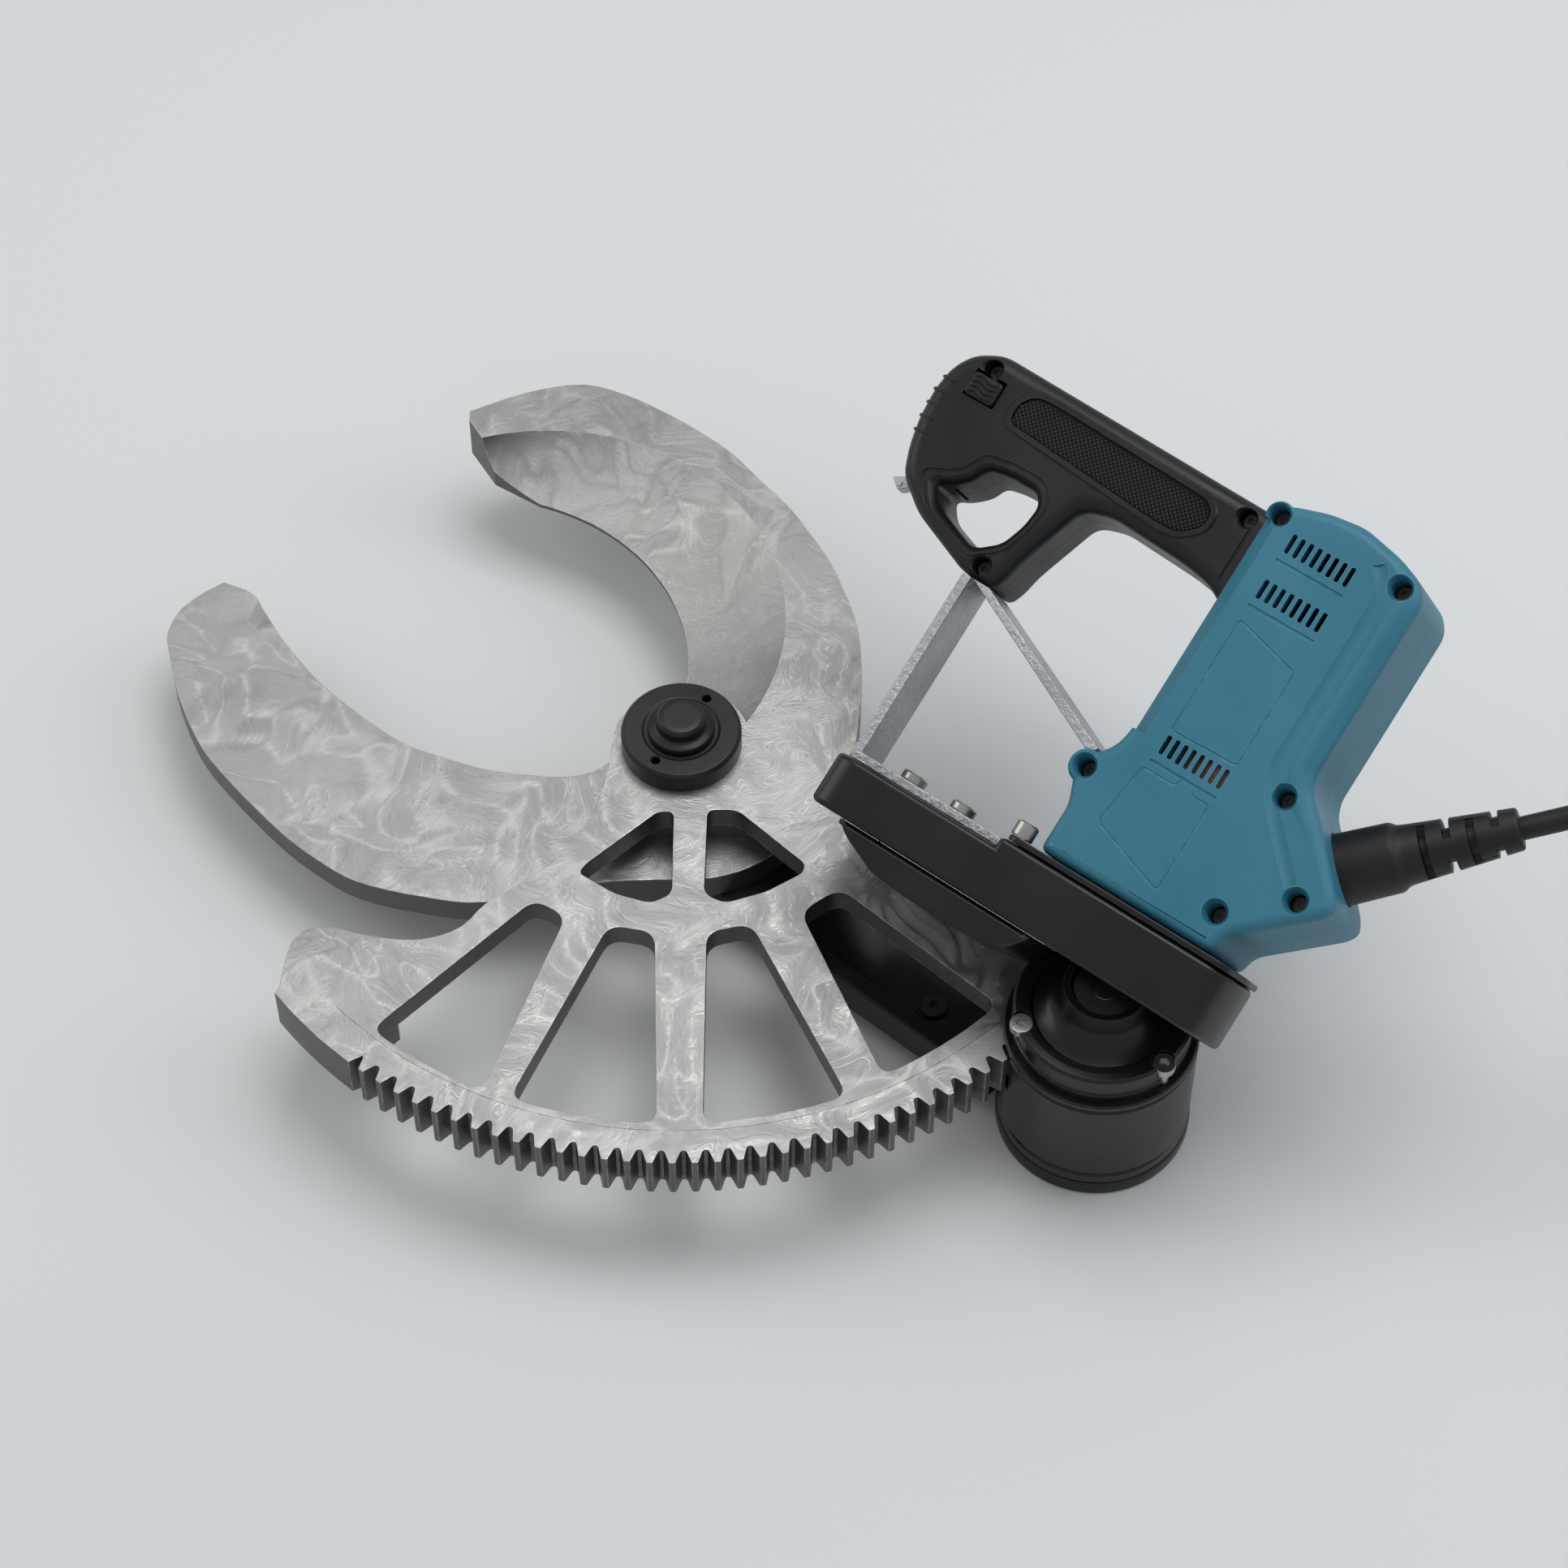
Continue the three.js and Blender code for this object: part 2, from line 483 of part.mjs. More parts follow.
// handle
const handleOutline = [[45.7, 204], [-96, 207], [-108, 201], [-114, 192], [-116, 180], [-115, 165],
  [-112, 152], [-107, 140], [-92, 129], [-60, 117], [-44, 117], [-41, 124],
  [-39, 134], [-28, 165], [-15, 169], [23, 167],
  [36, 165], [45.7, 160]];
const guardHole = [[-91, 144], [-84, 147], [-77, 153], [-74, 160], [-64, 162], [-50, 162], [-46, 157],
  [-47, 147], [-51, 136], [-61, 128], [-85, 136]];
const triggerOutline = [[-99.5, 150], [-94, 146.6], [-86, 146.8], [-79.5, 152], [-76, 161.5],
  [-79, 171], [-97, 175], [-103, 165]];
const triggerHinge = [-99, 170];
const triggerPress = 12; // degrees of travel
const lockPoints = [[-101.5, 183.5], [-86.5, 183.5], [-86.5, 194.5], [-101.5, 194.5]];
const handleScrews = [[-96, 199], [37, 197], [-53, 123]];
const inlayPoints = [[-76, 182], [-77, 190], [-72, 197], [-63, 198], [18, 195], [23, 191], [23, 184],
  [15, 177], [6, 176]];

function turned(points, centre, degrees, grow = 0) {
  const mean = (i) => points.reduce((sum, point) => sum + point[i], 0) / points.length;
  const middle = [mean(0), mean(1)];
  return points.map(([x, y]) => {
    const length = Math.hypot(x - middle[0], y - middle[1]);
    const wide = [x + ((x - middle[0]) * grow) / length, y + ((y - middle[1]) * grow) / length];
    const [dx, dy] = [wide[0] - centre[0], wide[1] - centre[1]];
    const [c, s] = [Math.cos(deg(degrees)), Math.sin(deg(degrees))];
    return [centre[0] + dx * c - dy * s, centre[1] + dx * s + dy * c];
  });
}

function handlePieces() {
  let body = softPrism(handleOutline, handle.low, handle.high, 7);
  body = body.subtract(prism(guardHole, -100, 20, 4));
  for (const degrees of [-1, 6, triggerPress + 1]) {
    body = body.subtract(prism(turned(triggerOutline, triggerHinge, degrees, 0.9), -45, -25, 3));
  }
  body = body.subtract(block([-70, 174, -46], [-30, 196, -24])); // switch pocket
  body = body.subtract(block([-32, 180, -42], [36, 190, -28]));
  body = body.subtract(block([-102, 183, -30], [-86, 196, -10])); // lock button's seat
  for (const at of handleScrews) {
    body = body.subtract(rod(1.9, -50, 0, at, 8)).subtract(rod(4.1, -27, 5, at, 12));
  }
  for (const [low, high] of [[-16.2, 0], [-80, -53.8]]) {
    body = body.subtract(prism(inlayPoints, low, high, 4));
  }
  const upper = body.subtract(block([-200, 0, -100], [200, 260, handle.parting + gap / 2]));
  const lower = body.subtract(block([-200, 0, handle.parting - gap / 2], [200, 260, 20]));
  add(tilted, 'handle_shell_upper', upper, blackPlastic);
  add(tilted, 'handle_shell_lower', lower, blackPlastic);
  handleScrews.forEach((at, i) => {
    add(tilted, `handle_screw_${i + 1}`, socketScrew(at, 3.6, -26.7, 3, 1.6, 18), steel);
  });
  const small = turned(inlayPoints, [0, 0], 0, -0.4);
  add(tilted, 'grip_inlay_upper', prism(small, -15.9, -14.4, 4), rubber);
  add(tilted, 'grip_inlay_lower', prism(small, -55.6, -54.1, 4), rubber);
  add(tilted, 'trigger', softPrism(triggerOutline, -44, -26, 2), blackPlastic);
  add(tilted, 'lock_button', softPrism(lockPoints, -23, -12, 1), blackPlastic);
  add(tilted, 'switch_module', block([-69.5, 174.5, -45.5], [-30.5, 195.5, -24.5]), blackPlastic);
  const lug = prism([[-110, 134], [-104, 138.5], [-108, 142], [-115, 138]], -38, -30, 1);
  add(tilted, 'sling_lug', lug.subtract(body), aluminium);
}

// brace from the handle's tip to the gear case and the motor body
function bracePieces() {
  const low = -45;
  const high = -15;
  const foot = caseBox.thin + gap;
  const bar = [[-58, foot], [20, foot], [20, foot + 4], [-53.5, foot + 4], [-53.5, 116.2], [-58, 116.2]];
  let leftBrace = prism(bar, low, high);
  for (const u of braceBolts) leftBrace = leftBrace.subtract(axialRod(3.3, 8, 60, [u, -30], 12));
  add(tilted, 'brace_left', leftBrace, aluminium);
  const strip = [[-52.8, 116.4], [33.2, 77.5], [35.2, 81.6], [-44, 116.4]];
  add(tilted, 'brace_right', prism(strip, low, high), aluminium);
  braceBolts.forEach((u, i) => {
    const seat = foot + 4 + gap;
    const head = axialRod(6, seat, seat + 4, [u, -30], 20).subtract(axialRod(2.8, seat + 2, 60, [u, -30], 6));
    add(tilted, `brace_bolt_${i + 1}`, head.add(axialRod(2.9, 10, seat + 0.1, [u, -30], 12)), steel);
  });
}

// cable gland: sleeve, then a tapering boot, pointing out of the flared corner
const glandAt = [146, 91, -36];
const glandTurn = -46.2; // degrees from the motor axis towards the outside
const glandLength = 76;

function gland(grow) {
  const profile = [[0, -9], [15.5, -9], [15.5, 24], [13, 26], [12, 62], [9, glandLength], [0, glandLength]];
  const points = profile.map(([r, y]) => new THREE.Vector2(r === 0 ? 0 : r + grow, y));
  return new THREE.LatheGeometry(points, 16).rotateZ(deg(glandTurn)).translate(...glandAt);
}

// cord on the floor beyond the motor
const coil = { x: 540, y: -112, middle: 55, turnsHigh: 3, low: 0.3 };

function cordPieces() {
  add(tilted, 'cable_gland', toSolid(gland(0)), rubber);
  tilted.updateMatrix();
  const out = new THREE.Vector3(0, 1, 0).applyAxisAngle(new THREE.Vector3(0, 0, 1), deg(glandTurn));
  const exit = new THREE.Vector3(...glandAt).addScaledVector(out, glandLength + gap);
  exit.applyMatrix4(tilted.matrix);
  const way = out.clone().transformDirection(tilted.matrix);
  const start = [0, 20, 38].map((step) => exit.clone().addScaledVector(way, step));
  const fall = [[402, -127, 185], [420, -130, 182], [437, -131, 174], [450, -134, 160], [459, -138, 143],
    [466, -142, 124], [472, -146, 104], [477, -150, 85], [480, -152, 66], [480, -146.6, 45.3],
    [480, -132, 30.7], [480, -113, 25.6]];
  const route = [...start, ...fall.map((point) => new THREE.Vector3(...point))];
  const tube = (points, radius, steps) => toSolid(new THREE.ExtrudeGeometry(
    new THREE.Shape().absarc(0, 0, radius, 0, Math.PI * 2),
    { steps, extrudePath: new THREE.CatmullRomCurve3(points), curveSegments: 4, bevelEnabled: false },
  ));
  add(model, 'cord', tube(route, cordRadius, 24), rubber);

  const wide = 2 * cordRadius;
  const inner = coil.middle - wide;
  const outer = coil.middle + wide;
  const top = coil.low + coil.turnsHigh * wide;
  const edge = cordRadius;
  const section = [[inner, coil.low + edge], [inner + edge, coil.low], [outer - edge, coil.low],
    [outer, coil.low + edge], [outer, top - edge], [outer - edge, top], [inner + edge, top],
    [inner, top - edge]];
  const profile = [...section, section[0]].map(([r, h]) => new THREE.Vector2(r, h));
  const ring = new THREE.LatheGeometry(profile, 28).rotateX(Math.PI / 2).translate(coil.x, coil.y, 0);

  // the last stretch climbs onto the coil and turns across it to the plug
  const lying = top + gap + cordRadius;
  const turnIn = 40;
  const pivotX = coil.x - coil.middle + cordRadius + turnIn;
  const onTop = [228, 216, 204, 192].map((angle, i) => {
    const [x, y] = polar(coil.middle - cordRadius, angle);
    return new THREE.Vector3(coil.x + x, coil.y + y, lying - [6, 3.5, 1.2, 0][i]);
  });
  const across = [180, 165, 150, 135, 120, 105, 93].map((angle, i) => {
    const [x, y] = polar(turnIn, angle);
    return new THREE.Vector3(pivotX + x, coil.y + y, lying + [0, 0, 0.5, 1.5, 3, 4.4, 5][i]);
  });
  const tail = [...onTop, ...across];
  add(model, 'cord_tail', tube(tail, cordRadius, 16), rubber);
  const room = tube(route, cordRadius + gap, 24).add(tube(tail, cordRadius + gap, 16));
  add(model, 'cord_coil', toSolid(ring).subtract(room), rubber);

  // plug resting on the coil, its two pins apart from each other
  const plugAt = [pivotX, coil.y + turnIn];
  const plugFace = plugAt[0] + 54;
  const plugMiddle = lying + 5;
  const sides = [[0, -7], [12, -15], [48, -17], [54, -12], [54, 12], [48, 17], [12, 15], [0, 7]];
  const outlineXY = sides.map(([along, side]) => [plugAt[0] + along, plugAt[1] + side]);
  let plug = prism(outlineXY, top + gap, 2 * plugMiddle - top - gap, 3);
  [-9.5, 9.5].forEach((side, i) => {
    const pin = (radius, from, to) => {
      const geometry = rodGeometry(radius, from, to, [0, 0], 12).rotateY(Math.PI / 2);
      return toSolid(geometry.translate(plugFace, plugAt[1] + side, plugMiddle));
    };
    plug = plug.subtract(pin(2.4 + gap, -8, 1));
    add(model, `plug_pin_${i + 1}`, pin(2.4, -7.7, 17), brass);
  });
  add(model, 'plug_body', plug, rubber);
}

add(model, 'moving_jaw', movingJaw(), steel);
add(model, 'fixed_jaw', fixedJaw(), steel);
add(model, 'frame_arm', frameArm(), blackPaint);
pivotPieces();
drumPieces();
drivePieces();
casePieces();
motorPieces();
handlePieces();
bracePieces();
cordPieces();

export default model;
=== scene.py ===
import math

import bmesh
import bpy
from mathutils import Matrix, Vector


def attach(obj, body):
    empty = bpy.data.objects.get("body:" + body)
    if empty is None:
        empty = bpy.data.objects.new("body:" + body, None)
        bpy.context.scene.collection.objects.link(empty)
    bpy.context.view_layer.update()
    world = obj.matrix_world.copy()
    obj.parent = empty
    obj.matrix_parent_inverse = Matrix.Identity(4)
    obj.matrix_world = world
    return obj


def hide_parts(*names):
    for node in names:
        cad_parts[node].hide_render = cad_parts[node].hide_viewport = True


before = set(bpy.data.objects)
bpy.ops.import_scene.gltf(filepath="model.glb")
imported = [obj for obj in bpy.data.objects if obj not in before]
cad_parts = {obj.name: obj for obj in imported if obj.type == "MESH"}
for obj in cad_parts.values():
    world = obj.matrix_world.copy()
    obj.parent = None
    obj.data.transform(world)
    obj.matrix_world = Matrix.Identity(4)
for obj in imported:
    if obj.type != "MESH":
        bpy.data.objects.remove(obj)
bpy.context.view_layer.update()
scene = bpy.context.scene

# Shapes are drawn in millimetres in one of two frames and brought to metres at the end.
# The blade frame is the row's own. In the tilted frame u runs across the motor, v along it and w up out of
# the gear case's broad side.
mm = 0.001
bladeFrame = Matrix.Identity(4)
tilt = {"origin": (102, -112.2, 130), "heading": -37.68, "rise": 30}
tiltFrame = (Matrix.Translation(tilt["origin"]) @ Matrix.Rotation(math.radians(tilt["heading"]), 4, "Z")
             @ Matrix.Rotation(math.radians(tilt["rise"]), 4, "X"))


def polar(radius, degrees):
    return (radius * math.cos(math.radians(degrees)), radius * math.sin(math.radians(degrees)))


sector = {"module": 3, "teeth": 144, "pinionTeeth": 14, "addendum": 2.4, "dedendum": 3.75, "backlash": 0.3,
          "drumAngle": -40.2}
pitchRadius = sector["module"] * sector["teeth"] / 2
tipRadius = pitchRadius + sector["addendum"]
rootRadius = pitchRadius - sector["dedendum"]
drumAt = polar(sector["module"] * (sector["teeth"] + sector["pinionTeeth"]) / 2, sector["drumAngle"])
motorAxis = (85.7, -34)  # u and w


camera = {"at": (0.0459, -1.0848, 1.5265), "pitch": 36, "lens": 93.17}
eye = bpy.data.objects.new("camera", bpy.data.cameras.new("camera"))
eye.location = camera["at"]
eye.rotation_euler = (math.radians(camera["pitch"]), 0, 0)
eye.data.lens = camera["lens"]
eye.data.sensor_width = 36
scene.collection.objects.link(eye)
scene.camera = eye
print("camera placed")


# shape helpers

def cornerArc(before, corner, after, radius, steps):
    # the points that round one corner, or the corner itself where there is no room
    here = Vector(corner)
    back, on = Vector(before) - here, Vector(after) - here
    trim = min(radius, back.length * 0.45, on.length * 0.45)
    if trim < 1e-6:
        return [here]
    start, end = here + back.normalized() * trim, here + on.normalized() * trim
    parts = [k / steps for k in range(steps + 1)]
    return [(1 - t) ** 2 * start + 2 * t * (1 - t) * here + t * t * end for t in parts]


def rounded(points, radius, steps=6):
    # a closed outline with its corners rounded
    out = []
    for i, point in enumerate(points):
        out += cornerArc(points[i - 1], point, points[(i + 1) % len(points)], radius, steps)
    return out


def flowing(points, corner=34, steps=4, closed=True):
    # a smooth line through the points, which keeps every corner sharper than the given angle
    points = [Vector(p) for p in points]
    count = len(points)

    def isCorner(i):
        if not closed and i in (0, count - 1):
            return True
        a, b = points[i] - points[i - 1], points[(i + 1) % count] - points[i]
        return math.degrees(a.angle(b, 0)) > corner

    out = []
    for i in range(count if closed else count - 1):
        a, b = points[i], points[(i + 1) % count]
        before = 2 * a - b if isCorner(i) else points[i - 1]
        after = 2 * b - a if isCorner((i + 1) % count) else points[(i + 2) % count]
        parts = steps if (b - a).length > 3 else 1
        for k in range(parts):
            t = k / parts
            out.append(0.5 * (2 * a + (b - before) * t + (2 * before - 5 * a + 4 * b - after) * t * t
                              + (3 * a - before - 3 * b + after) * t ** 3))
    if not closed:
        out.append(points[-1])
    return out


def circle(radius, sides=64, at=(0, 0)):
    return [(at[0] + polar(radius, 360 * k / sides)[0], at[1] + polar(radius, 360 * k / sides)[1])
            for k in range(sides)]


def newObject(bm, name="part"):
    bmesh.ops.recalc_face_normals(bm, faces=bm.faces)
    mesh = bpy.data.meshes.new(name)
    bm.to_mesh(mesh)
    bm.free()
    obj = bpy.data.objects.new(name, mesh)
    scene.collection.objects.link(obj)
    return obj


def discard(obj):
    mesh = obj.data
    bpy.data.objects.remove(obj)
    if mesh.users == 0:
        bpy.data.meshes.remove(mesh)


def bake(obj):
    # replaces the object's mesh with what its modifiers make of it
    result = bpy.data.meshes.new_from_object(obj.evaluated_get(bpy.context.evaluated_depsgraph_get()))
    old = obj.data
    obj.modifiers.clear()
    obj.data = result
    bpy.data.meshes.remove(old)
    return obj


def combine(obj, tool, operation):
    step = obj.modifiers.new("step", "BOOLEAN")
    step.operation = operation
    step.object = tool
    step.solver = "EXACT"
    bake(obj)
    discard(tool)
    return obj


def cut(obj, *tools):
    for tool in tools:
        combine(obj, tool, "DIFFERENCE")
    return obj


def join(obj, *tools):
    for tool in tools:
        combine(obj, tool, "UNION")
    return obj


def prism(points, low, high):
    bm = bmesh.new()
    bottom = [bm.verts.new((p[0], p[1], low)) for p in points]
    top = [bm.verts.new((p[0], p[1], high)) for p in points]
    bm.faces.new(bottom[::-1])
    bm.faces.new(top)
    for i in range(len(points)):
        j = (i + 1) % len(points)
        bm.faces.new((bottom[i], bottom[j], top[j], top[i]))
    return newObject(bm)


def casePrism(points, low, high):
    # an outline in u and w, standing from low to high along v
    obj = prism(points, -high, -low)
    obj.data.transform(Matrix.Rotation(math.pi / 2, 4, "X"))
    return obj


def block(low, high):
    corners = [(low[0], low[1]), (high[0], low[1]), (high[0], high[1]), (low[0], high[1])]
    return prism(corners, low[2], high[2])


def softened(profile, radius, steps=3):
    # an open profile with its inner corners rounded
    out = [Vector(profile[0])]
    for before, corner, after in zip(profile, profile[1:], profile[2:]):
        out += cornerArc(before, corner, after, radius, steps)
    return out + [Vector(profile[-1])]


def lathe(profile, at=(0, 0), sides=96, soft=0.0):
    # the profile is radius and height, from axis to axis, or a closed ring when it never meets the axis
    line = softened(profile, soft) if soft else [Vector(p) for p in profile]
    ring = line[0].x > 1e-6
    bm = bmesh.new()
    rows = []
    for r, h in line:
        if r < 1e-6:
            rows.append([bm.verts.new((at[0], at[1], h))] * sides)
            continue
        rows.append([bm.verts.new((at[0] + r * math.cos(2 * math.pi * k / sides),
                                   at[1] + r * math.sin(2 * math.pi * k / sides), h)) for k in range(sides)])
    for i in range(len(rows) if ring else len(rows) - 1):
        a, b = rows[i], rows[(i + 1) % len(rows)]
        for k in range(sides):
            corners = []
            for vert in (a[k], a[(k + 1) % sides], b[(k + 1) % sides], b[k]):
                if vert not in corners:
                    corners.append(vert)
            if len(corners) > 2:
                bm.faces.new(corners)
    return newObject(bm)


def rod(radius, low, high, at=(0, 0), sides=48, top=None, soft=0.0):
    top = radius if top is None else top
    return lathe([(0, low), (radius, low), (top, high), (0, high)], at, sides, soft)


def alongV(obj, at=motorAxis):
    # turns a piece made along z so that it runs along v through the given u and w
    obj.data.transform(Matrix.Translation((at[0], 0, at[1])) @ Matrix.Rotation(-math.pi / 2, 4, "X"))
    return obj


def curveMesh(curve):
    # the curve's surface with its doubled points merged; the curve itself is removed
    holder = bpy.data.objects.new("curve", curve)
    scene.collection.objects.link(holder)
    mesh = bpy.data.meshes.new_from_object(holder.evaluated_get(bpy.context.evaluated_depsgraph_get()))
    bpy.data.objects.remove(holder)
    bpy.data.curves.remove(curve)
    bm = bmesh.new()
    bm.from_mesh(mesh)
    bpy.data.meshes.remove(mesh)
    bmesh.ops.remove_doubles(bm, verts=bm.verts, dist=1e-4)
    return bm


def plate(loops, low, high, edge, fineness=2):
    # a flat piece from its outline and the outlines of its holes, with rounded edges
    curve = bpy.data.curves.new("plate", "CURVE")
    curve.dimensions = "2D"
    curve.fill_mode = "BOTH"
    curve.extrude = (high - low) / 2 - edge
    curve.bevel_depth = edge
    curve.bevel_resolution = fineness
    curve.offset = -edge
    for loop in loops:
        spline = curve.splines.new("POLY")
        spline.points.add(len(loop) - 1)
        for point, place in zip(spline.points, loop):
            point.co = (place[0], place[1], 0, 1)
        spline.use_cyclic_u = True
    bm = curveMesh(curve)
    bmesh.ops.translate(bm, verts=bm.verts, vec=(0, 0, (low + high) / 2))
    return newObject(bm)


def grown(points, distance):
    # a closed outline pushed outwards, or inwards where the distance is negative
    area = sum(a[0] * b[1] - b[0] * a[1] for a, b in zip(points, points[1:] + points[:1]))
    side = distance if area > 0 else -distance
    out = []
    for i, point in enumerate(points):
        here = Vector(point)
        a = (here - Vector(points[i - 1])).normalized()
        b = (Vector(points[(i + 1) % len(points)]) - here).normalized()
        normals = Vector((a.y, -a.x)) + Vector((b.y, -b.x))
        out.append(here + normals * side / max(0.4, 1 + a.dot(b)))
    return out


def loft(rows):
    # skins outlines of equal count, each given with its height
    bm = bmesh.new()
    rings = [[bm.verts.new((p[0], p[1], level)) for p in outline] for outline, level in rows]
    bm.faces.new(rings[0][::-1])
    bm.faces.new(rings[-1])
    count = len(rings[0])
    for a, b in zip(rings, rings[1:]):
        for k in range(count):
            bm.faces.new((a[k], a[(k + 1) % count], b[(k + 1) % count], b[k]))
    return newObject(bm)


def sweep(points, radius, fineness=3, closed=False):
    # a round bar along the points
    curve = bpy.data.curves.new("sweep", "CURVE")
    curve.dimensions = "3D"
    curve.bevel_depth = radius
    curve.bevel_resolution = fineness
    curve.use_fill_caps = not closed
    spline = curve.splines.new("POLY")
    spline.points.add(len(points) - 1)
    for point, place in zip(spline.points, points):
        point.co = (*place, 1)
    spline.use_cyclic_u = closed
    return newObject(curveMesh(curve))


def together(*pieces):
    # one mesh of pieces that don't touch each other
    bm = bmesh.new()
    for piece in pieces:
        bm.from_mesh(piece.data)
        discard(piece)
    return newObject(bm)


def placed(obj, place):
    obj.data.transform(place)
    return obj


def socketScrew(head, seat, high, shank, length):
    profile = [(0, seat - length), (shank, seat - length), (shank, seat), (head, seat), (head, seat + high),
               (0, seat + high)]
    body = lathe(profile, sides=40, soft=0.5)
    return cut(body, prism(circle(head * 0.5, 6), seat + high / 2, seat + high + 2))


# each one's head radius, seat, head height, shank radius and length
screwSizes = {"jaw": (7, -16.7, 8, 4.2, 19.5), "cap": (5, 80, 4, 2.8, 9), "housing": (3.8, -17.7, 3, 1.7, 26),
              "handle": (3.6, -26.7, 3, 1.6, 18)}


def screwSet(places, sizes, name, material, node, place=bladeFrame):
    # like screws, one at each place, sized as socketScrew says
    for i, at in enumerate(places):
        screw = placed(socketScrew(*sizes), Matrix.Translation((*at, 0)))
        finish(screw, f"{name}{i + 1}", material, nodes=[f"{node}_{i + 1}"], place=place)


def bevelled(obj, width, segments=2, angle=40):
    step = obj.modifiers.new("edge", "BEVEL")
    step.width = width
    step.segments = segments
    step.limit_method = "ANGLE"
    step.angle_limit = math.radians(angle)
    step.use_clamp_overlap = False
    return bake(obj)


def halves(body, parting, left, right):
    # a case parted in two, with a fine gap between the halves
    gap = 0.15
    lower = body.copy()
    lower.data = body.data.copy()
    scene.collection.objects.link(lower)
    cut(body, block((left, 0, -100), (right, 260, parting + gap)))
    cut(lower, block((left, 0, parting - gap), (right, 260, 20)))
    return body, lower


def finish(obj, name, material, body="frame", nodes=(), place=bladeFrame, angle=32):
    # names the piece, brings it to metres in the row's frame, shades it and hands it to the frame
    obj.name = name
    obj.data.transform(Matrix.Scale(mm, 4) @ place)
    obj.data.polygons.foreach_set("use_smooth", [True] * len(obj.data.polygons))
    obj.data.set_sharp_from_angle(angle=math.radians(angle))
    step = obj.modifiers.new("normals", "WEIGHTED_NORMAL")
    step.keep_sharp = True
    bake(obj)
    obj.data.name = name
    obj.data.materials.clear()
    obj.data.materials.append(material)
    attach(obj, body)
    if nodes:
        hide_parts(*nodes)
    return obj


# finishes

def newMaterial(name):
    material = bpy.data.materials.new(name)
    material.use_nodes = True
    tree = material.node_tree
    return material, tree, tree.nodes["Principled BSDF"]


def group(name, inputs, outputs):
    tree = bpy.data.node_groups.new(name, "ShaderNodeTree")
    for label, kind, value in inputs:
        socket = tree.interface.new_socket(label, in_out="INPUT", socket_type=kind)
        socket.default_value = value
    for label, kind in outputs:
        tree.interface.new_socket(label, in_out="OUTPUT", socket_type=kind)
    return tree, tree.nodes.new("NodeGroupInput"), tree.nodes.new("NodeGroupOutput")


def node(tree, kind, links=None, **values):
    # values set the node's own settings, links fill its inputs with sockets or numbers
    made = tree.nodes.new(kind)
    for key, value in values.items():
        setattr(made, key, value)
    for key, value in (links or {}).items():
        socket = made.inputs[key]
        if isinstance(value, bpy.types.NodeSocket):
            tree.links.new(value, socket)
        else:
            socket.default_value = value
    return made


def maths(tree, operation, a, b=0.0, clamp=False):
    return node(tree, "ShaderNodeMath", {0: a, 1: b}, operation=operation, use_clamp=clamp).outputs[0]


def ramp(tree, value, low, high, out=(0.0, 1.0)):
    links = {"Value": value, "From Min": low, "From Max": high, "To Min": out[0], "To Max": out[1]}
    return node(tree, "ShaderNodeMapRange", links, clamp=True).outputs["Result"]


def mix(tree, factor, a, b):
    return node(tree, "ShaderNodeMix", {0: factor, 6: a, 7: b}, data_type="RGBA").outputs[2]


def objectPlace(tree):
    return tree.nodes.new("ShaderNodeTexCoord").outputs["Object"]


def makeGrain():
    # fine moulded or cast skin: a height, and a slow drift from 0 to 1
    tree, given, out = group(
        "grain", [("Scale", "NodeSocketFloat", 900.0), ("Drift", "NodeSocketFloat", 18.0)],
        [("Height", "NodeSocketFloat"), ("Drift", "NodeSocketFloat")])
    place = objectPlace(tree)
    fine = node(tree, "ShaderNodeTexNoise", {"Vector": place, "Scale": given.outputs["Scale"],
                                             "Detail": 4.0, "Roughness": 0.6})
    slow = node(tree, "ShaderNodeTexNoise", {"Vector": place, "Scale": given.outputs["Drift"], "Detail": 3.0})
    tree.links.new(fine.outputs["Fac"], out.inputs["Height"])
    tree.links.new(ramp(tree, slow.outputs["Fac"], 0.3, 0.7), out.inputs["Drift"])
    return tree


def makeScratches():
    # short hand-ground strokes whose direction wanders from patch to patch
    tree, given, out = group(
        "grindingMarks",
        [("Patch", "NodeSocketFloat", 26.0), ("Along", "NodeSocketFloat", 70.0),
         ("Across", "NodeSocketFloat", 850.0)],
        [("Height", "NodeSocketFloat"), ("Mask", "NodeSocketFloat")])
    place = objectPlace(tree)
    patch = node(tree, "ShaderNodeTexNoise", {"Vector": place, "Scale": given.outputs["Patch"], "Detail": 1.0,
                                              "Distortion": 0.6})
    heights = []
    for offset in (0.0, 1.3):
        angle = maths(tree, "ADD", maths(tree, "MULTIPLY", patch.outputs["Fac"], 14.0), offset)
        turned = node(tree, "ShaderNodeVectorRotate", {"Vector": place, "Angle": angle},
                      rotation_type="Z_AXIS")
        size = node(tree, "ShaderNodeCombineXYZ", {"X": given.outputs["Along"], "Y": given.outputs["Across"],
                                                   "Z": given.outputs["Along"]})
        stretched = node(tree, "ShaderNodeVectorMath", {0: turned.outputs[0], 1: size.outputs[0]},
                         operation="MULTIPLY")
        strokes = node(tree, "ShaderNodeTexNoise", {"Vector": stretched.outputs[0], "Scale": 1.0,
                                                    "Detail": 2.0, "Roughness": 0.7})
        heights.append(strokes.outputs["Fac"])
    both = maths(tree, "MAXIMUM", heights[0], heights[1])
    tree.links.new(both, out.inputs["Height"])
    tree.links.new(ramp(tree, both, 0.52, 0.72), out.inputs["Mask"])
    return tree


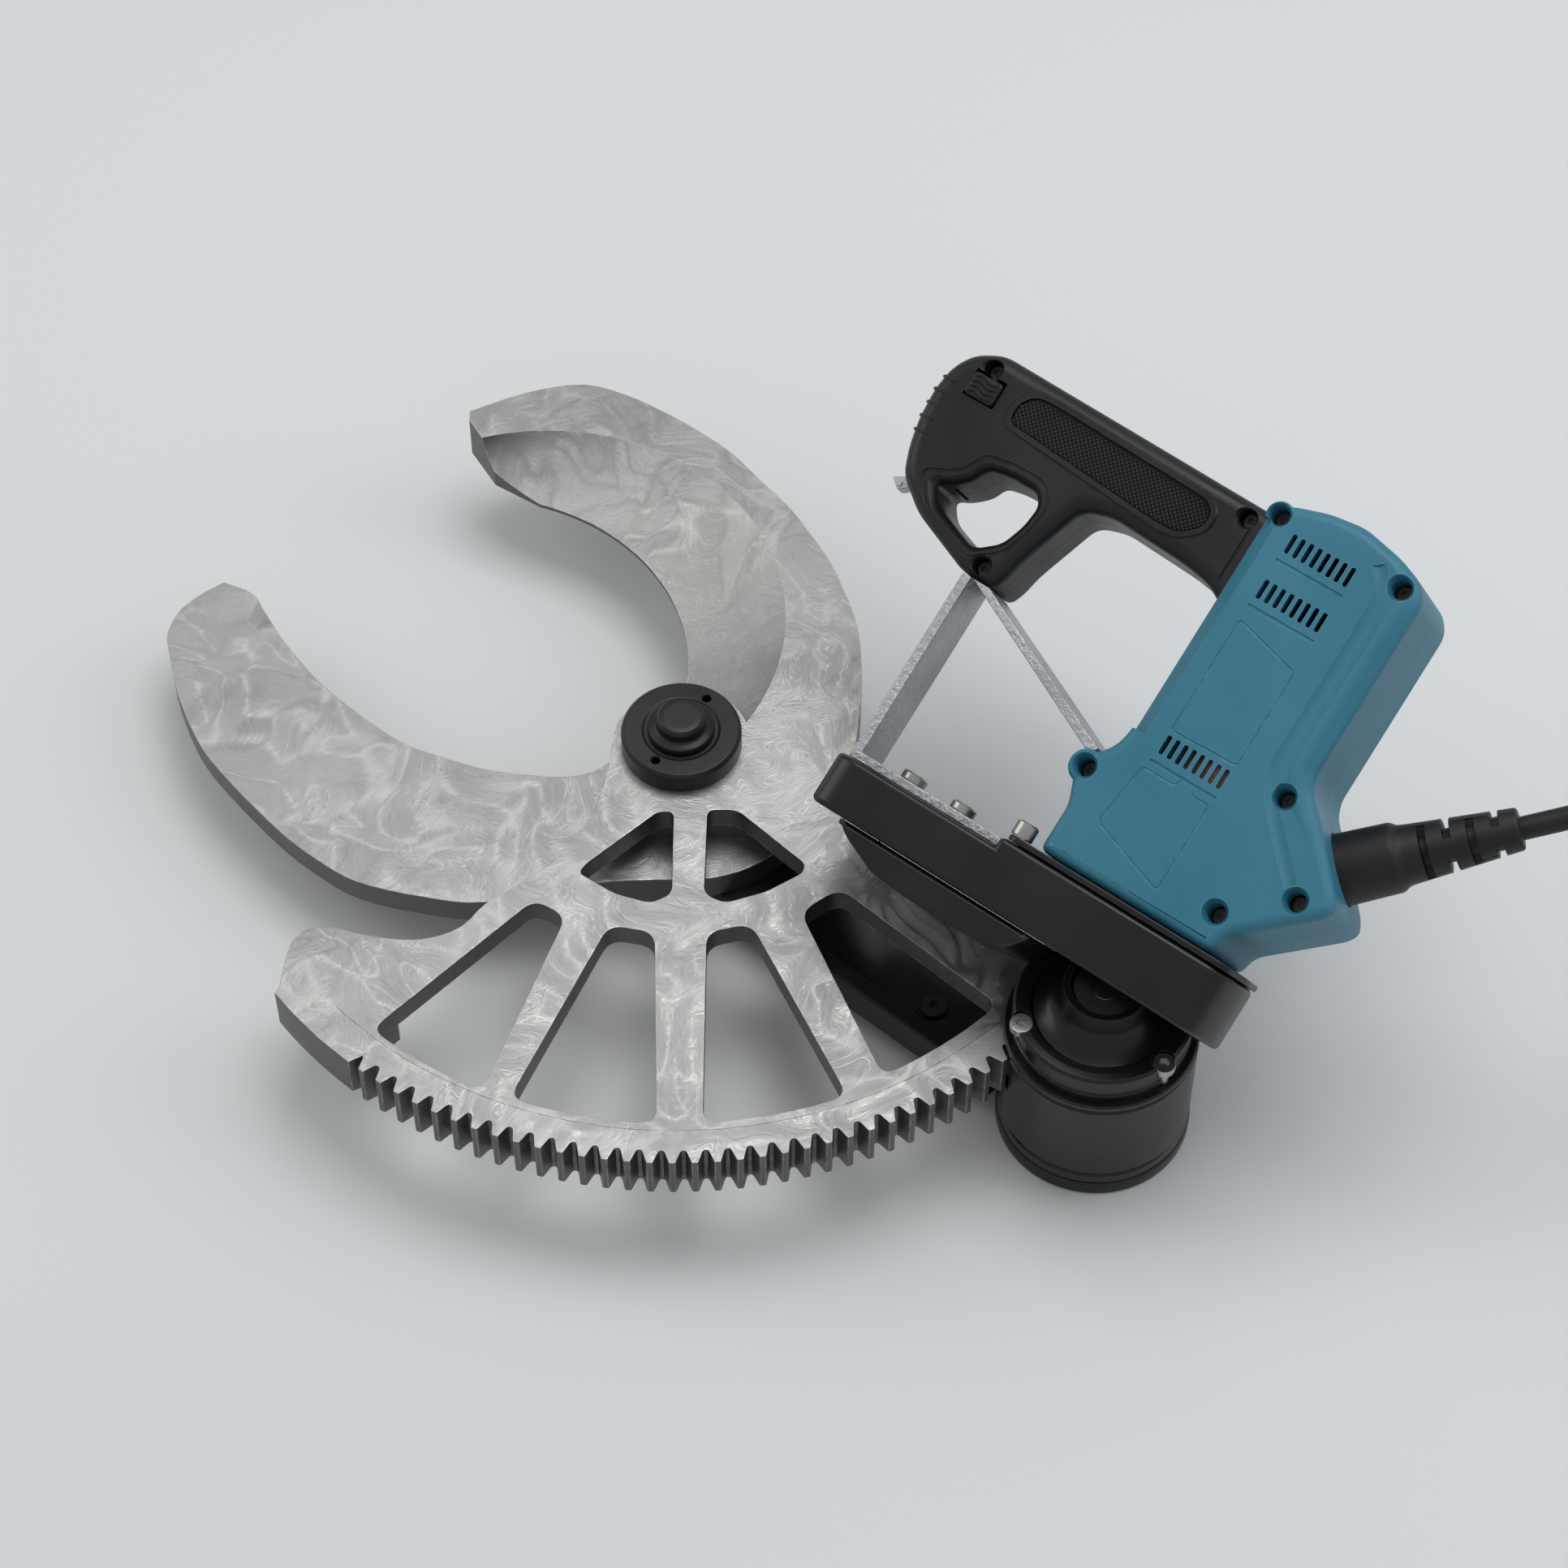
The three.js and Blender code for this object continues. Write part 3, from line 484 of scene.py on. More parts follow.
def makeEdges():
    # 1 along edges, 0 on the flats, broken up a little; it lightens edges as rubbed wear and as a painted
    # edge highlight
    tree, given, out = group("edgeWearAndHighlight", [("Width", "NodeSocketFloat", 0.0008)],
                             [("Mask", "NodeSocketFloat")])
    soft = node(tree, "ShaderNodeBevel", {"Radius": given.outputs["Width"]}, samples=6)
    flat = tree.nodes.new("ShaderNodeNewGeometry")
    same = node(tree, "ShaderNodeVectorMath", {0: soft.outputs[0], 1: flat.outputs["Normal"]},
                operation="DOT_PRODUCT").outputs["Value"]
    wearAndHighlight = node(tree, "ShaderNodeTexNoise", {"Vector": objectPlace(tree), "Scale": 220.0, "Detail": 3.0})
    edge = ramp(tree, maths(tree, "SUBTRACT", 1.0, same), 0.01, 0.14)
    broken = ramp(tree, wearAndHighlight.outputs["Fac"], 0.36, 0.62)
    tree.links.new(maths(tree, "MULTIPLY", edge, broken), out.inputs["Mask"])
    return tree


def makeWalls():
    # 1 on faces that stand upright, 0 on the broad faces: the mask of painted shade on the walls
    tree, given, out = group("uprightWalls", [("Start", "NodeSocketFloat", 0.35)],
                             [("Mask", "NodeSocketFloat")])
    normal = tree.nodes.new("ShaderNodeTexCoord").outputs["Normal"]
    z = maths(tree, "ABSOLUTE", node(tree, "ShaderNodeSeparateXYZ", {0: normal}).outputs["Z"])
    tree.links.new(ramp(tree, z, given.outputs["Start"], 0.75, (1.0, 0.0)), out.inputs["Mask"])
    return tree


grain, scratches, edges, walls = makeGrain(), makeScratches(), makeEdges(), makeWalls()


def use(tree, shared, **values):
    return node(tree, "ShaderNodeGroup", values, node_tree=shared)


def bump(tree, shader, height, strength, distance):
    made = node(tree, "ShaderNodeBump", {"Height": height, "Strength": strength, "Distance": distance})
    tree.links.new(made.outputs["Normal"], shader.inputs["Normal"])


def groundSteel(name, light, dark, wallShade, roughness=(0.36, 0.5)):
    material, tree, shader = newMaterial(name)
    shader.inputs["Metallic"].default_value = 1.0
    drift = use(tree, grain, Scale=600.0, Drift=16.0)
    marks = use(tree, scratches, Patch=24.0)
    wallShadeMask = use(tree, walls)
    edge = use(tree, edges, Width=0.0007)
    stain = node(tree, "ShaderNodeTexNoise", {"Vector": objectPlace(tree), "Scale": 42.0, "Detail": 5.0})
    color = mix(tree, drift.outputs["Drift"], dark, light)
    color = mix(tree, ramp(tree, stain.outputs["Fac"], 0.55, 0.75, (0.0, 0.3)), color, dark)
    color = mix(tree, maths(tree, "MULTIPLY", marks.outputs["Mask"], 0.5), color, (0.74, 0.74, 0.72, 1))
    # painted shade: upright faces are darkened towards the wall shade colour
    color = mix(tree, wallShadeMask.outputs["Mask"], color, wallShade)
    # edges lightened nearly to white: rubbed wear and a painted edge highlight
    color = mix(tree, edge.outputs["Mask"], color, (0.9, 0.9, 0.88, 1))
    tree.links.new(color, shader.inputs["Base Color"])
    rough = ramp(tree, drift.outputs["Drift"], 0.0, 1.0, roughness)
    rough = maths(tree, "SUBTRACT", rough, maths(tree, "MULTIPLY", marks.outputs["Mask"], 0.08))
    tree.links.new(rough, shader.inputs["Roughness"])
    bump(tree, shader, marks.outputs["Height"], 0.6, 0.0002)
    return material


def skin(name, color, second, roughness, scale, strength, wearAndHighlight=None, metallic=0.0, distance=0.0002,
         specular=0.5):
    # paint, plastic and rubber: drifting colour, drifting gloss, a fine skin, and rubbed edges with a painted
    # edge highlight
    material, tree, shader = newMaterial(name)
    shader.inputs["Metallic"].default_value = metallic
    shader.inputs["Specular IOR Level"].default_value = specular
    body = use(tree, grain, Scale=scale, Drift=22.0)
    paint = mix(tree, body.outputs["Drift"], color, second)
    if wearAndHighlight:
        edge = use(tree, edges, Width=0.0007)
        # edges mixed towards the edge colour: rubbed wear and a painted edge highlight
        paint = mix(tree, maths(tree, "MULTIPLY", edge.outputs["Mask"], 0.75), paint, wearAndHighlight)
    tree.links.new(paint, shader.inputs["Base Color"])
    tree.links.new(ramp(tree, body.outputs["Drift"], 0.0, 1.0, roughness), shader.inputs["Roughness"])
    bump(tree, shader, body.outputs["Height"], strength, distance)
    return material


def brushed(name, color, second, along, roughness=(0.28, 0.42), coarse=60.0):
    # straight brushing along one axis of the row
    material, tree, shader = newMaterial(name)
    shader.inputs["Metallic"].default_value = 1.0
    size = [1800.0, 1800.0, 1800.0]
    size[along] = coarse
    stretched = node(tree, "ShaderNodeVectorMath", {0: objectPlace(tree), 1: size}, operation="MULTIPLY")
    lines = node(tree, "ShaderNodeTexNoise", {"Vector": stretched.outputs[0], "Scale": 1.0, "Detail": 3.0})
    drift = use(tree, grain, Scale=500.0, Drift=30.0)
    paint = mix(tree, drift.outputs["Drift"], color, second)
    tree.links.new(paint, shader.inputs["Base Color"])
    tree.links.new(ramp(tree, lines.outputs["Fac"], 0.3, 0.7, roughness), shader.inputs["Roughness"])
    bump(tree, shader, lines.outputs["Fac"], 0.3, 0.0001)
    return material


# the third colour is painted shade for the upright walls
bladeSteel = groundSteel("bladeSteel", (0.45, 0.446, 0.434, 1), (0.34, 0.337, 0.328, 1),
                         (0.15, 0.148, 0.144, 1))
gearSteel = brushed("gearSteel", (0.42, 0.415, 0.4, 1), (0.3, 0.296, 0.285, 1), 2)
# the edge colours given below paint rubbed edges and a painted edge highlight
blackSteel = skin("blackSteel", (0.02, 0.02, 0.02, 1), (0.035, 0.034, 0.034, 1), (0.3, 0.42), 1200.0, 0.12,
                  wearAndHighlight=(0.2, 0.2, 0.2, 1), metallic=0.6)
screwSteel = brushed("screwSteel", (0.5, 0.495, 0.47, 1), (0.36, 0.355, 0.34, 1), 2, (0.24, 0.38))
sunkSteel = skin("sunkSteel", (0.06, 0.06, 0.062, 1), (0.09, 0.09, 0.092, 1), (0.35, 0.5), 1200.0, 0.15,
                 wearAndHighlight=(0.2, 0.2, 0.2, 1), metallic=0.8)
blackPaint = skin("blackPaint", (0.0045, 0.0045, 0.005, 1), (0.009, 0.009, 0.01, 1), (0.24, 0.36), 1500.0,
                  0.16, wearAndHighlight=(0.1, 0.1, 0.105, 1), distance=0.00012, specular=0.42)
bluePlastic = skin("bluePlastic", (0.03, 0.165, 0.245, 1), (0.038, 0.188, 0.275, 1), (0.42, 0.54), 1900.0,
                   0.22, wearAndHighlight=(0.14, 0.36, 0.47, 1), specular=0.4)
blackPlastic = skin("blackPlastic", (0.005, 0.005, 0.0055, 1), (0.011, 0.011, 0.012, 1), (0.34, 0.48), 1700.0,
                    0.2, wearAndHighlight=(0.06, 0.06, 0.062, 1), specular=0.4)
gripRubber = skin("gripRubber", (0.006, 0.006, 0.007, 1), (0.009, 0.009, 0.01, 1), (0.3, 0.4), 1700.0, 0.08,
                  specular=0.45)
aluminium = brushed("aluminium", (0.62, 0.63, 0.65, 1), (0.5, 0.51, 0.53, 1), 2, (0.3, 0.45))
castAluminium = skin("castAluminium", (0.5, 0.51, 0.53, 1), (0.38, 0.39, 0.41, 1), (0.36, 0.52), 420.0, 0.8,
                     wearAndHighlight=(0.78, 0.78, 0.8, 1), metallic=1.0, distance=0.001)
brassMetal = brushed("brassMetal", (0.68, 0.5, 0.24, 1), (0.52, 0.37, 0.16, 1), 0, (0.22, 0.36))
winding = skin("winding", (0.2, 0.075, 0.03, 1), (0.13, 0.045, 0.02, 1), (0.3, 0.5), 800.0, 0.5)
cordRubber = skin("cordRubber", (0.006, 0.006, 0.0065, 1), (0.012, 0.012, 0.0125, 1), (0.45, 0.6), 1300.0,
                  0.18, specular=0.4)
print("finishes made")


# cord: down from the strain relief, six turns in a coil, and across the coil to the plug

gland = {"at": (146, 91, -36), "turn": -46.2, "length": 76, "gap": 0.3}
glandPlace = (tiltFrame @ Matrix.Translation(gland["at"])
              @ Matrix.Rotation(math.radians(gland["turn"]), 4, "Z") @ Matrix.Rotation(-math.pi / 2, 4, "X"))
flex = {"radius": 5, "coil": (540, -112), "middle": 55, "low": 0.3, "rows": 3, "perTurn": 24, "step": 0.16,
        "turnIn": 40, "plugRise": 5}


def ease(t):
    t = max(0.0, min(1.0, t))
    return t * t * (3 - 2 * t)


def cordLine():
    r, (cx, cy) = flex["radius"], flex["coil"]
    start = gland["length"] + gland["gap"]
    line = [glandPlace @ Vector((0, 0, start + out)) for out in (0, 20, 38)]
    line += [Vector(p) for p in (
        (402, -127, 185), (420, -130, 182), (437, -131, 174), (450, -134, 160), (459, -138, 143),
        (466, -142, 124), (472, -146, 104), (477, -150, 85), (480, -152, 66), (480, -146.6, 45.3),
        (480, -132, 30.7), (480, -113, 25.6))]
    heights = [flex["low"] + r + 2 * r * i for i in range(flex["rows"])]
    outer, inner = flex["middle"] + r, flex["middle"] - r
    turns = [(outer, h) for h in reversed(heights)] + [(inner, h) for h in heights]
    for i, (radius, height) in enumerate(turns):
        onward = turns[i + 1] if i + 1 < len(turns) else (radius, height)
        last = i + 1 == len(turns)
        for k in range(0 if i else 1, flex["perTurn"] * 19 // 24 if last else flex["perTurn"]):
            part = k / flex["perTurn"]
            over = ease((part - 1 + flex["step"]) / flex["step"])
            x, y = polar(radius + (onward[0] - radius) * over, 180 - 360 * part)
            line.append(Vector((cx + x, cy + y, height + (onward[1] - height) * over)))
    lying = flex["low"] + 2 * r * flex["rows"] + flex["low"] + r
    for angle, below in ((241, 8.7), (228, 6), (216, 3.5), (204, 1.2), (192, 0)):
        x, y = polar(inner, angle)
        line.append(Vector((cx + x, cy + y, lying - below)))
    pivotX = cx - inner + flex["turnIn"]
    for angle, above in ((180, 0), (165, 0), (150, 0.5), (135, 1.5), (120, 3), (105, 4.4), (93, 5)):
        x, y = polar(flex["turnIn"], angle)
        line.append(Vector((pivotX + x, cy + y, lying + above)))
    plugStart = Vector((pivotX, cy + flex["turnIn"], lying + flex["plugRise"]))
    line.append(plugStart + Vector((4, 0, 0)))
    return line, plugStart


cordPoints, plugStart = cordLine()
fineLine = flowing(cordPoints, corner=180, steps=3, closed=False)
cordCurve = bpy.data.curves.new("flexCord", "CURVE")
cordCurve.dimensions = "3D"
cordCurve.bevel_depth = flex["radius"] * mm
cordCurve.bevel_resolution = 4
cordCurve.use_fill_caps = True
cordSpline = cordCurve.splines.new("POLY")
cordSpline.points.add(len(fineLine) - 1)
for point, place in zip(cordSpline.points, fineLine):
    point.co = (*(place * mm), 1)
cordCurve.materials.append(cordRubber)
flexCord = bpy.data.objects.new("flexCord", cordCurve)
scene.collection.objects.link(flexCord)
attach(flexCord, "frame")
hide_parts("cord", "cord_coil", "cord_tail")


def reliefSleeve():
    # smooth sleeve, a collar, then a tapering boot cut into ribs by slots that turn from one to the next
    sizes = {"sleeve": 15.5, "sleeveEnd": 24, "boot": 13, "tip": 9, "slot": 3.2, "core": 7.2, "web": 9}
    end = gland["length"]
    profile = [(0, -8), (sizes["sleeve"], -8), (sizes["sleeve"] - 0.6, sizes["sleeveEnd"]),
               (sizes["boot"], 26.5), (12.6, 30), (sizes["tip"], end), (flex["radius"] + 0.4, end),
               (0, end - 1)]
    body = lathe(profile, sides=96, soft=1.4)
    for i in range(4):
        at = 35 + 10 * i
        slotEnd = at + sizes["slot"]
        ring = lathe([(sizes["core"], at), (20, at), (20, slotEnd), (sizes["core"], slotEnd)], sides=72)
        half = sizes["web"] / 2
        web = block((-25, -half, at - 1), (25, half, slotEnd + 1))
        web.data.transform(Matrix.Rotation(math.radians(90 * (i % 2) + 20), 4, "Z"))
        cut(body, cut(ring, web))
    finish(bevelled(body, 0.35), "strainRelief", cordRubber, nodes=["cable_gland"],
           place=glandPlace)


plugSize = {"length": 54, "halfWidth": 17, "halfHigh": 10.0, "pinSide": 9.5, "grooves": (16, 20, 24, 28),
            "groove": 1.6}


def plug():
    length, wide, high = plugSize["length"], plugSize["halfWidth"], plugSize["halfHigh"]
    sides = [(0, -7), (12, -15), (48, -wide), (length, -12), (length, 12), (48, wide), (12, 15), (0, 7)]
    body = plate([rounded(sides, 5)], -high, high, 2.6, 4)
    grooves = [block((x, -30, side * 11 - 1.8), (x + plugSize["groove"], 30, side * 11 + 1.8))
               for x in plugSize["grooves"] for side in (-1, 1)]
    cut(body, *grooves)
    pieces = [finish(bevelled(body, 0.3), "plugBody", cordRubber, nodes=["plug_body"],
                     place=Matrix.Translation(plugStart))]
    for i, side in enumerate((-plugSize["pinSide"], plugSize["pinSide"])):
        pin = lathe([(0, -7.5), (2.4, -7.5), (2.4, 15), (1.7, 17), (0, 17)], sides=40, soft=0.5)
        foot = Matrix.Translation(plugStart + Vector((length, side, 0)))
        pieces.append(finish(pin, f"plugPin{i + 1}", brassMetal, nodes=[f"plug_pin_{i + 1}"],
                             place=foot @ Matrix.Rotation(math.pi / 2, 4, "Y")))
    return pieces


plugPieces = plug()
reliefSleeve()
print("cord, strain relief and plug made")


# jaws

height = {"armLow": 8, "armHigh": 26.4, "fixedLow": 26.7, "fixedHigh": 40.7, "movingLow": 41, "webLow": 53,
          "movingHigh": 65, "capHigh": 75.3, "drumHigh": 70, "drumCapHigh": 85}
cutArc = {"at": (-102, 58), "radius": 104}
bevelArc = {"at": (-66, 72), "radius": 112}
jawBolts = [(-38, -38), (30, -30)]


def toothLine(centre):
    atPitch = sector["module"] * math.pi / 4 - sector["backlash"] / 2

    def flank(radius, side, wider=0.0):
        half = atPitch - (radius - pitchRadius) * math.tan(math.radians(20)) + wider
        return polar(radius, centre + side * math.degrees(half / radius))

    down = [flank(tipRadius, 1, -0.25), flank(tipRadius - 0.3, 1), flank(pitchRadius, 1),
            flank(rootRadius + 0.8, 1), flank(rootRadius, 1, 0.45)]
    up = [flank(rootRadius, -1, 0.45), flank(rootRadius + 0.8, -1), flank(pitchRadius, -1),
          flank(tipRadius - 0.3, -1), flank(tipRadius, -1, -0.25)]
    return down[::-1], up[::-1]


def movingOutline():
    points = []
    for i in range(38):
        points.append((cutArc["at"][0] + polar(cutArc["radius"], -2 + 2 * i)[0],
                       cutArc["at"][1] + polar(cutArc["radius"], -2 + 2 * i)[1]))
    points += [(-92, 171), (-104, 191)]
    back = [(-104, 197), (-77, 209), (-50, 214), (-29, 207), (-12, 197), (5, 185), (21, 171), (34, 155),
            (48, 138), (59, 120), (68, 103), (74, 86), (79, 69), (81, 50), (81, 30), (79, 7), (77, -20),
            (80, -48), (92, -66), (150, -106)]
    points += [tuple(p) for p in flowing(back, 50, 3, closed=False)]
    points.append(polar(rootRadius, -32.6))
    pitch = 360 / sector["teeth"]
    for i in range(2, -36, -1):
        down, up = toothLine(sector["drumAngle"] + i * pitch)
        points += down + up
    points += [polar(tipRadius, a) for a in (-129.5, -132, -134.5, -137, -139.5, -142.3)]
    left = [(-171, -130), (-167, -106), (-154, -99), (-139, -103), (-121, -106), (-107, -105), (-94, -99),
            (-84, -87), (-70, -77), (-49, -58), (-38, -36), (-32, -10), (-31, 5), (-28, 14), (-21, 19),
            (-4, 24)]
    points += [tuple(p) for p in flowing(left, 60, 3, closed=False)]
    return points


def windowOutline(start, end, low, high, skew):
    inset = 3.5
    points = [polar(high, start + (end - start) * i / 4) for i in range(5)]
    points.append(polar(low, end + (skew if skew < 0 else -inset)))
    points.append(polar(low, start + (skew if skew > 0 else inset)))
    return points


windows = [(-130.5, -114, 106, 200, 4), (-110.5, -92.2, 103, 199, 0), (-86.6, -68.6, 103, 199, 0),
           (-63.4, -45.4, 106, 196, -3)]
hubCells = [[(-3, -38), (-3, -82), (-12, -87), (-28, -82), (-44, -71), (-41, -66), (-10, -38)],
            [(12, -37), (25, -37), (55, -66), (54, -71), (38, -81), (20, -87), (11, -82)]]


def leaningCone(low, lowAt, lowRadius, high, highAt, highRadius, hollow=0.0, sides=160, rings=8):
    rows = []
    for i in range(rings + 1):
        t = i / rings
        radius = lowRadius + (highRadius - lowRadius) * t + hollow * math.sin(math.pi * t)
        centre = [lowAt[j] + (highAt[j] - lowAt[j]) * t for j in (0, 1)]
        rows.append((circle(radius, sides, centre), low + (high - low) * t))
    return loft(rows)


def movingJawPiece():
    loops = [movingOutline(), circle(14.08)]
    loops += [rounded(windowOutline(*window), 7) for window in windows]
    loops += [rounded(cell, 4) for cell in hubCells]
    jaw = plate(loops, height["movingLow"], height["movingHigh"], 0.4, 1)
    # the web between hub and rim is thinner than the rest, seen from below
    ring = rod(203, 0, height["webLow"], sides=180)
    cut(ring, rod(33, -1, height["webLow"] + 1))
    combine(ring, block((-240, -240, -1), (240, -34, height["webLow"] + 1)), "INTERSECT")
    cut(ring, prism([(-240, -160), (-100, -160), (-136, -128), (-150, -90), (-240, -90)], -2, 100))
    cut(jaw, ring)
    # hollow bevel along the cutting edge, ending in a sloping facet near the tip
    low, high = height["movingLow"] + 2.5, height["movingHigh"]
    extra = 4 / (high - low)
    beyond = [b + (b - c) * extra for b, c in zip(bevelArc["at"], cutArc["at"])]
    wide = bevelArc["radius"] + (bevelArc["radius"] - cutArc["radius"]) * extra
    cone = leaningCone(low, cutArc["at"], cutArc["radius"], high + 4, beyond, wide, hollow=1.6)
    facet = prism([(185, high), (185, 90), (0, 90), (0, 30), (153, 30)], -260, 200)
    facet.data.transform(Matrix(((0, 0, 1, 0), (1, 0, 0, 0), (0, 1, 0, 0), (0, 0, 0, 1))))
    cut(jaw, cut(combine(cone, facet, "INTERSECT"), rod(31, 0, 120, sides=128)))
    # a line scribed round the rim
    line = lathe([(202.6, high - 0.35), (203.0, high + 1), (202.2, high + 1)], sides=240)
    combine(line, prism([(0, 0), polar(300, -40), polar(300, -90), polar(300, -136)], 0, 100), "INTERSECT")
    cut(jaw, line)
    return finish(jaw, "movingJaw", bladeSteel, "jaw", ["moving_jaw"], angle=24)


def fixedJawPiece():
    inner = [(-201, 105), (-199, 100), (-187, 78), (-170, 55), (-154, 39), (-140, 27), (-126, 17), (-104, 8),
             (-89, 3), (-70, 0), (-52, -1), (-37, 4), (-22, 19), (0, 28), (30, 38), (56, 20), (60, -5),
             (53, -30), (36, -48), (14, -57), (-12, -58), (-40, -60), (-86, -70)]
    outer = [(-115, -67), (-144, -59), (-164, -46), (-182, -30), (-206, -3), (-221, 18), (-233, 46),
             (-239, 70), (-241, 80), (-239, 89), (-235, 97), (-227, 105), (-217, 112)]
    loops = [flowing(inner + outer, 36, 4), circle(14.3)]
    jaw = plate(loops, height["fixedLow"], height["fixedHigh"], 0.5, 2)
    scoop = rod(32, -40, 40, sides=128)
    scoop.data.transform(Matrix.Translation((-186, 112, 68)) @ Matrix.Rotation(math.radians(-38), 4, "Z")
                         @ Matrix.Rotation(math.radians(82), 4, "X"))
    under = rod(118, height["fixedLow"] - 1, height["fixedHigh"] - 3, (-92, 122), 180, top=106)
    cut(jaw, scoop, under, *[rod(4.6, 0, height["fixedHigh"] - 3, at, 32) for at in jawBolts])
    return finish(jaw, "fixedJaw", bladeSteel, nodes=["fixed_jaw"], angle=24)


movingJawPiece()
fixedJawPiece()
print("jaws made")


# frame arm under the blades

arm = {"width": 32, "far": pitchRadius + 21 - 42 + 6, "screw": (160, -16)}


def alongArm(s, side):
    x, y = polar(1, sector["drumAngle"])
    return (s * x - side * y, s * y + side * x)


armScrewAt = alongArm(*arm["screw"])


def armPiece():
    width, high = arm["width"], height["armHigh"]
    outline = [alongArm(-18, width), alongArm(-34, 14), alongArm(-34, -14), alongArm(-18, -width),
               alongArm(arm["far"], -width), alongArm(arm["far"], width)]
    body = plate([rounded(outline, 8)], height["armLow"], high, 1.0)
    lobe = plate([rounded([(-30, -12), (-62, -34), (-50, -56), (-20, -40)], 6)], height["armLow"], high, 0.8)
    foot = lathe([(0, 0), (29, 0), (30, 1), (30, high - 0.8), (29.2, high), (0, high)])
    join(body, lobe, foot)
    recess = [alongArm(76, 22), alongArm(76, -24), alongArm(166, -24), alongArm(176, 22)]
    cut(body, loft([(rounded(grown(recess, -1.5), 7), high - 12), (rounded(recess, 8), high - 10.6),
                    (rounded(recess, 8), high - 0.8), (rounded(grown(recess, 0.9), 8), high + 0.2)]))
    boss = lathe([(0, high - 13), (9.4, high - 13), (9.4, high - 12), (7.8, high - 10.5), (7.6, high - 3.6),
                  (7, high - 3), (0, high - 3)], armScrewAt, 64)
    join(body, boss)
    cut(body, rod(3.3, -1, 60, armScrewAt), rod(10.3, height["armLow"] - 0.3, 60),
        rod(42.3, -1, 60, drumAt, 96))
    for at in jawBolts:
        cut(body, rod(4.6, -1, 60, at), rod(7.6, -1, 17, at))
    finish(body, "frameArm", blackPaint, nodes=["frame_arm"])


def pivotPieces():
    low, high = height["movingHigh"] + 0.3, height["capHigh"]
    cap = lathe([(10.3, low), (27, low), (27, high - 1.6), (25.6, high), (17.6, high), (16.8, high - 0.6),
                 (10.3, high - 0.6)], sides=128, soft=0.4)
    cut(cap, *[lathe([(0, high - 6), (2, high - 6), (2, high - 0.6), (2.7, high + 0.2), (0, high + 0.2)],
                     polar(20.5, degrees), 40) for degrees in (57, -123)])
    finish(cap, "pivotCap", blackSteel, nodes=["pivot_cap"])
    seat = high + 0.3
    bolt = lathe([(0, 8), (10, 8), (10, seat), (14.6, seat), (15, seat + 0.8), (14.6, seat + 2.6),
                  (12, seat + 3.6), (11.2, seat + 4.2), (11, seat + 8.2), (9.6, seat + 9.8), (7.4, seat + 10),
                  (0, seat + 10)], sides=96, soft=0.5)
    finish(bolt, "pivotBolt", blackSteel, nodes=["pivot_bolt"])
    for i, at in enumerate(jawBolts):
        screw = placed(socketScrew(*screwSizes["jaw"]),
                       Matrix.Translation((*at, 0)) @ Matrix.Rotation(math.pi, 4, "X"))
        finish(screw, f"jawBolt{i + 1}", blackSteel, nodes=[f"jaw_bolt_{i + 1}"])
    seat = height["armHigh"] - 2.7
    screw = placed(socketScrew(5.5, seat, 3, 2.9, 14), Matrix.Translation((*armScrewAt, 0)))
    finish(screw, "armScrew", blackSteel, nodes=["arm_screw"])


armPiece()
pivotPieces()
print("arm and pivot made")


# drum

capScrews = [(146, -161), (205, -181)]
frontPoints = [(-44, -0.3), (-36, -6), (-19, -13), (0, -14.5), (26, -14.5), (50, -10), (58, -0.3)]


def tiltedBlock(low, high):
    return placed(block(low, high), tiltFrame)


def drumPieces():
    low, high = 8.3, height["drumHigh"]
    housing = lathe([(0, low), (41.2, low), (42, 9.2), (42, 13.6), (41, 14.2), (41, 16), (42, 16.6),
                     (42, 64.6), (40.9, 65.4), (40.9, 66.9), (42, 67.6), (42, 69.2), (41.2, high), (0, high)],
                    drumAt, 160)
    swept = rod(tipRadius + 1.5, height["movingLow"] - 0.6, height["movingHigh"] + 0.6, sides=360)
    cut(housing, swept, rod(27, 30, 66, drumAt, 96), rod(13.3, 14, 31, drumAt), rod(13.3, 65, 80, drumAt),
        rod(7, 0, 20, drumAt), tiltedBlock((-70, -0.3, -70.3), (150, 40, 20)))
    finish(housing, "gearHousing", blackPaint, nodes=["gear_housing"])

    top = height["drumCapHigh"]
    dish = [(r, top + 237.6 - math.sqrt(240 ** 2 - r * r)) for r in (33.7, 31.5)]
    cap = lathe([(0, high + 0.3), (38.5, high + 0.3), (38.5, 73.6), (37.5, 74.2), (37.5, 75.6), (38.5, 76.2),
                 (38.5, top - 1.4), (37.3, top), (34.4, top), *dish, (29.5, 83), (25, 84.6), (21.5, 88),
                 (19.2, 93), (18, 101), (0, 101)], drumAt, 160)
    room = [(u + math.copysign(2, u), 1) if v == -0.3 else (u + math.copysign(0.3, u), v - 0.45)
            for u, v in frontPoints]
    cut(cap, rod(13.3, 60, 81, drumAt), rod(15, 84, 102, drumAt, 72), rod(7, 60, 90, drumAt))
    for at in capScrews:
        cut(cap, lathe([(0, 60), (3.1, 60), (3.1, 79.7), (5.4, 79.7), (5.4, 90), (0, 90)], at, 48))
    cut(cap, tiltedBlock((-70, -0.3, -200), (150, 60, 20)), placed(prism(room, -59, 0), tiltFrame))
    finish(cap, "housingCap", blackPaint, nodes=["housing_cap"])
    screwSet(capScrews, screwSizes["cap"], "capScrew", screwSteel, "cap_screw")

    base = lathe([(0, 0), (41.3, 0), (42.5, 1.2), (42.5, 7), (41.9, 8), (9.4, 8), (9, 7.6), (9, 5), (0, 5)],
                 drumAt, 160)
    finish(base, "baseCover", blackPaint, nodes=["base_cover"])


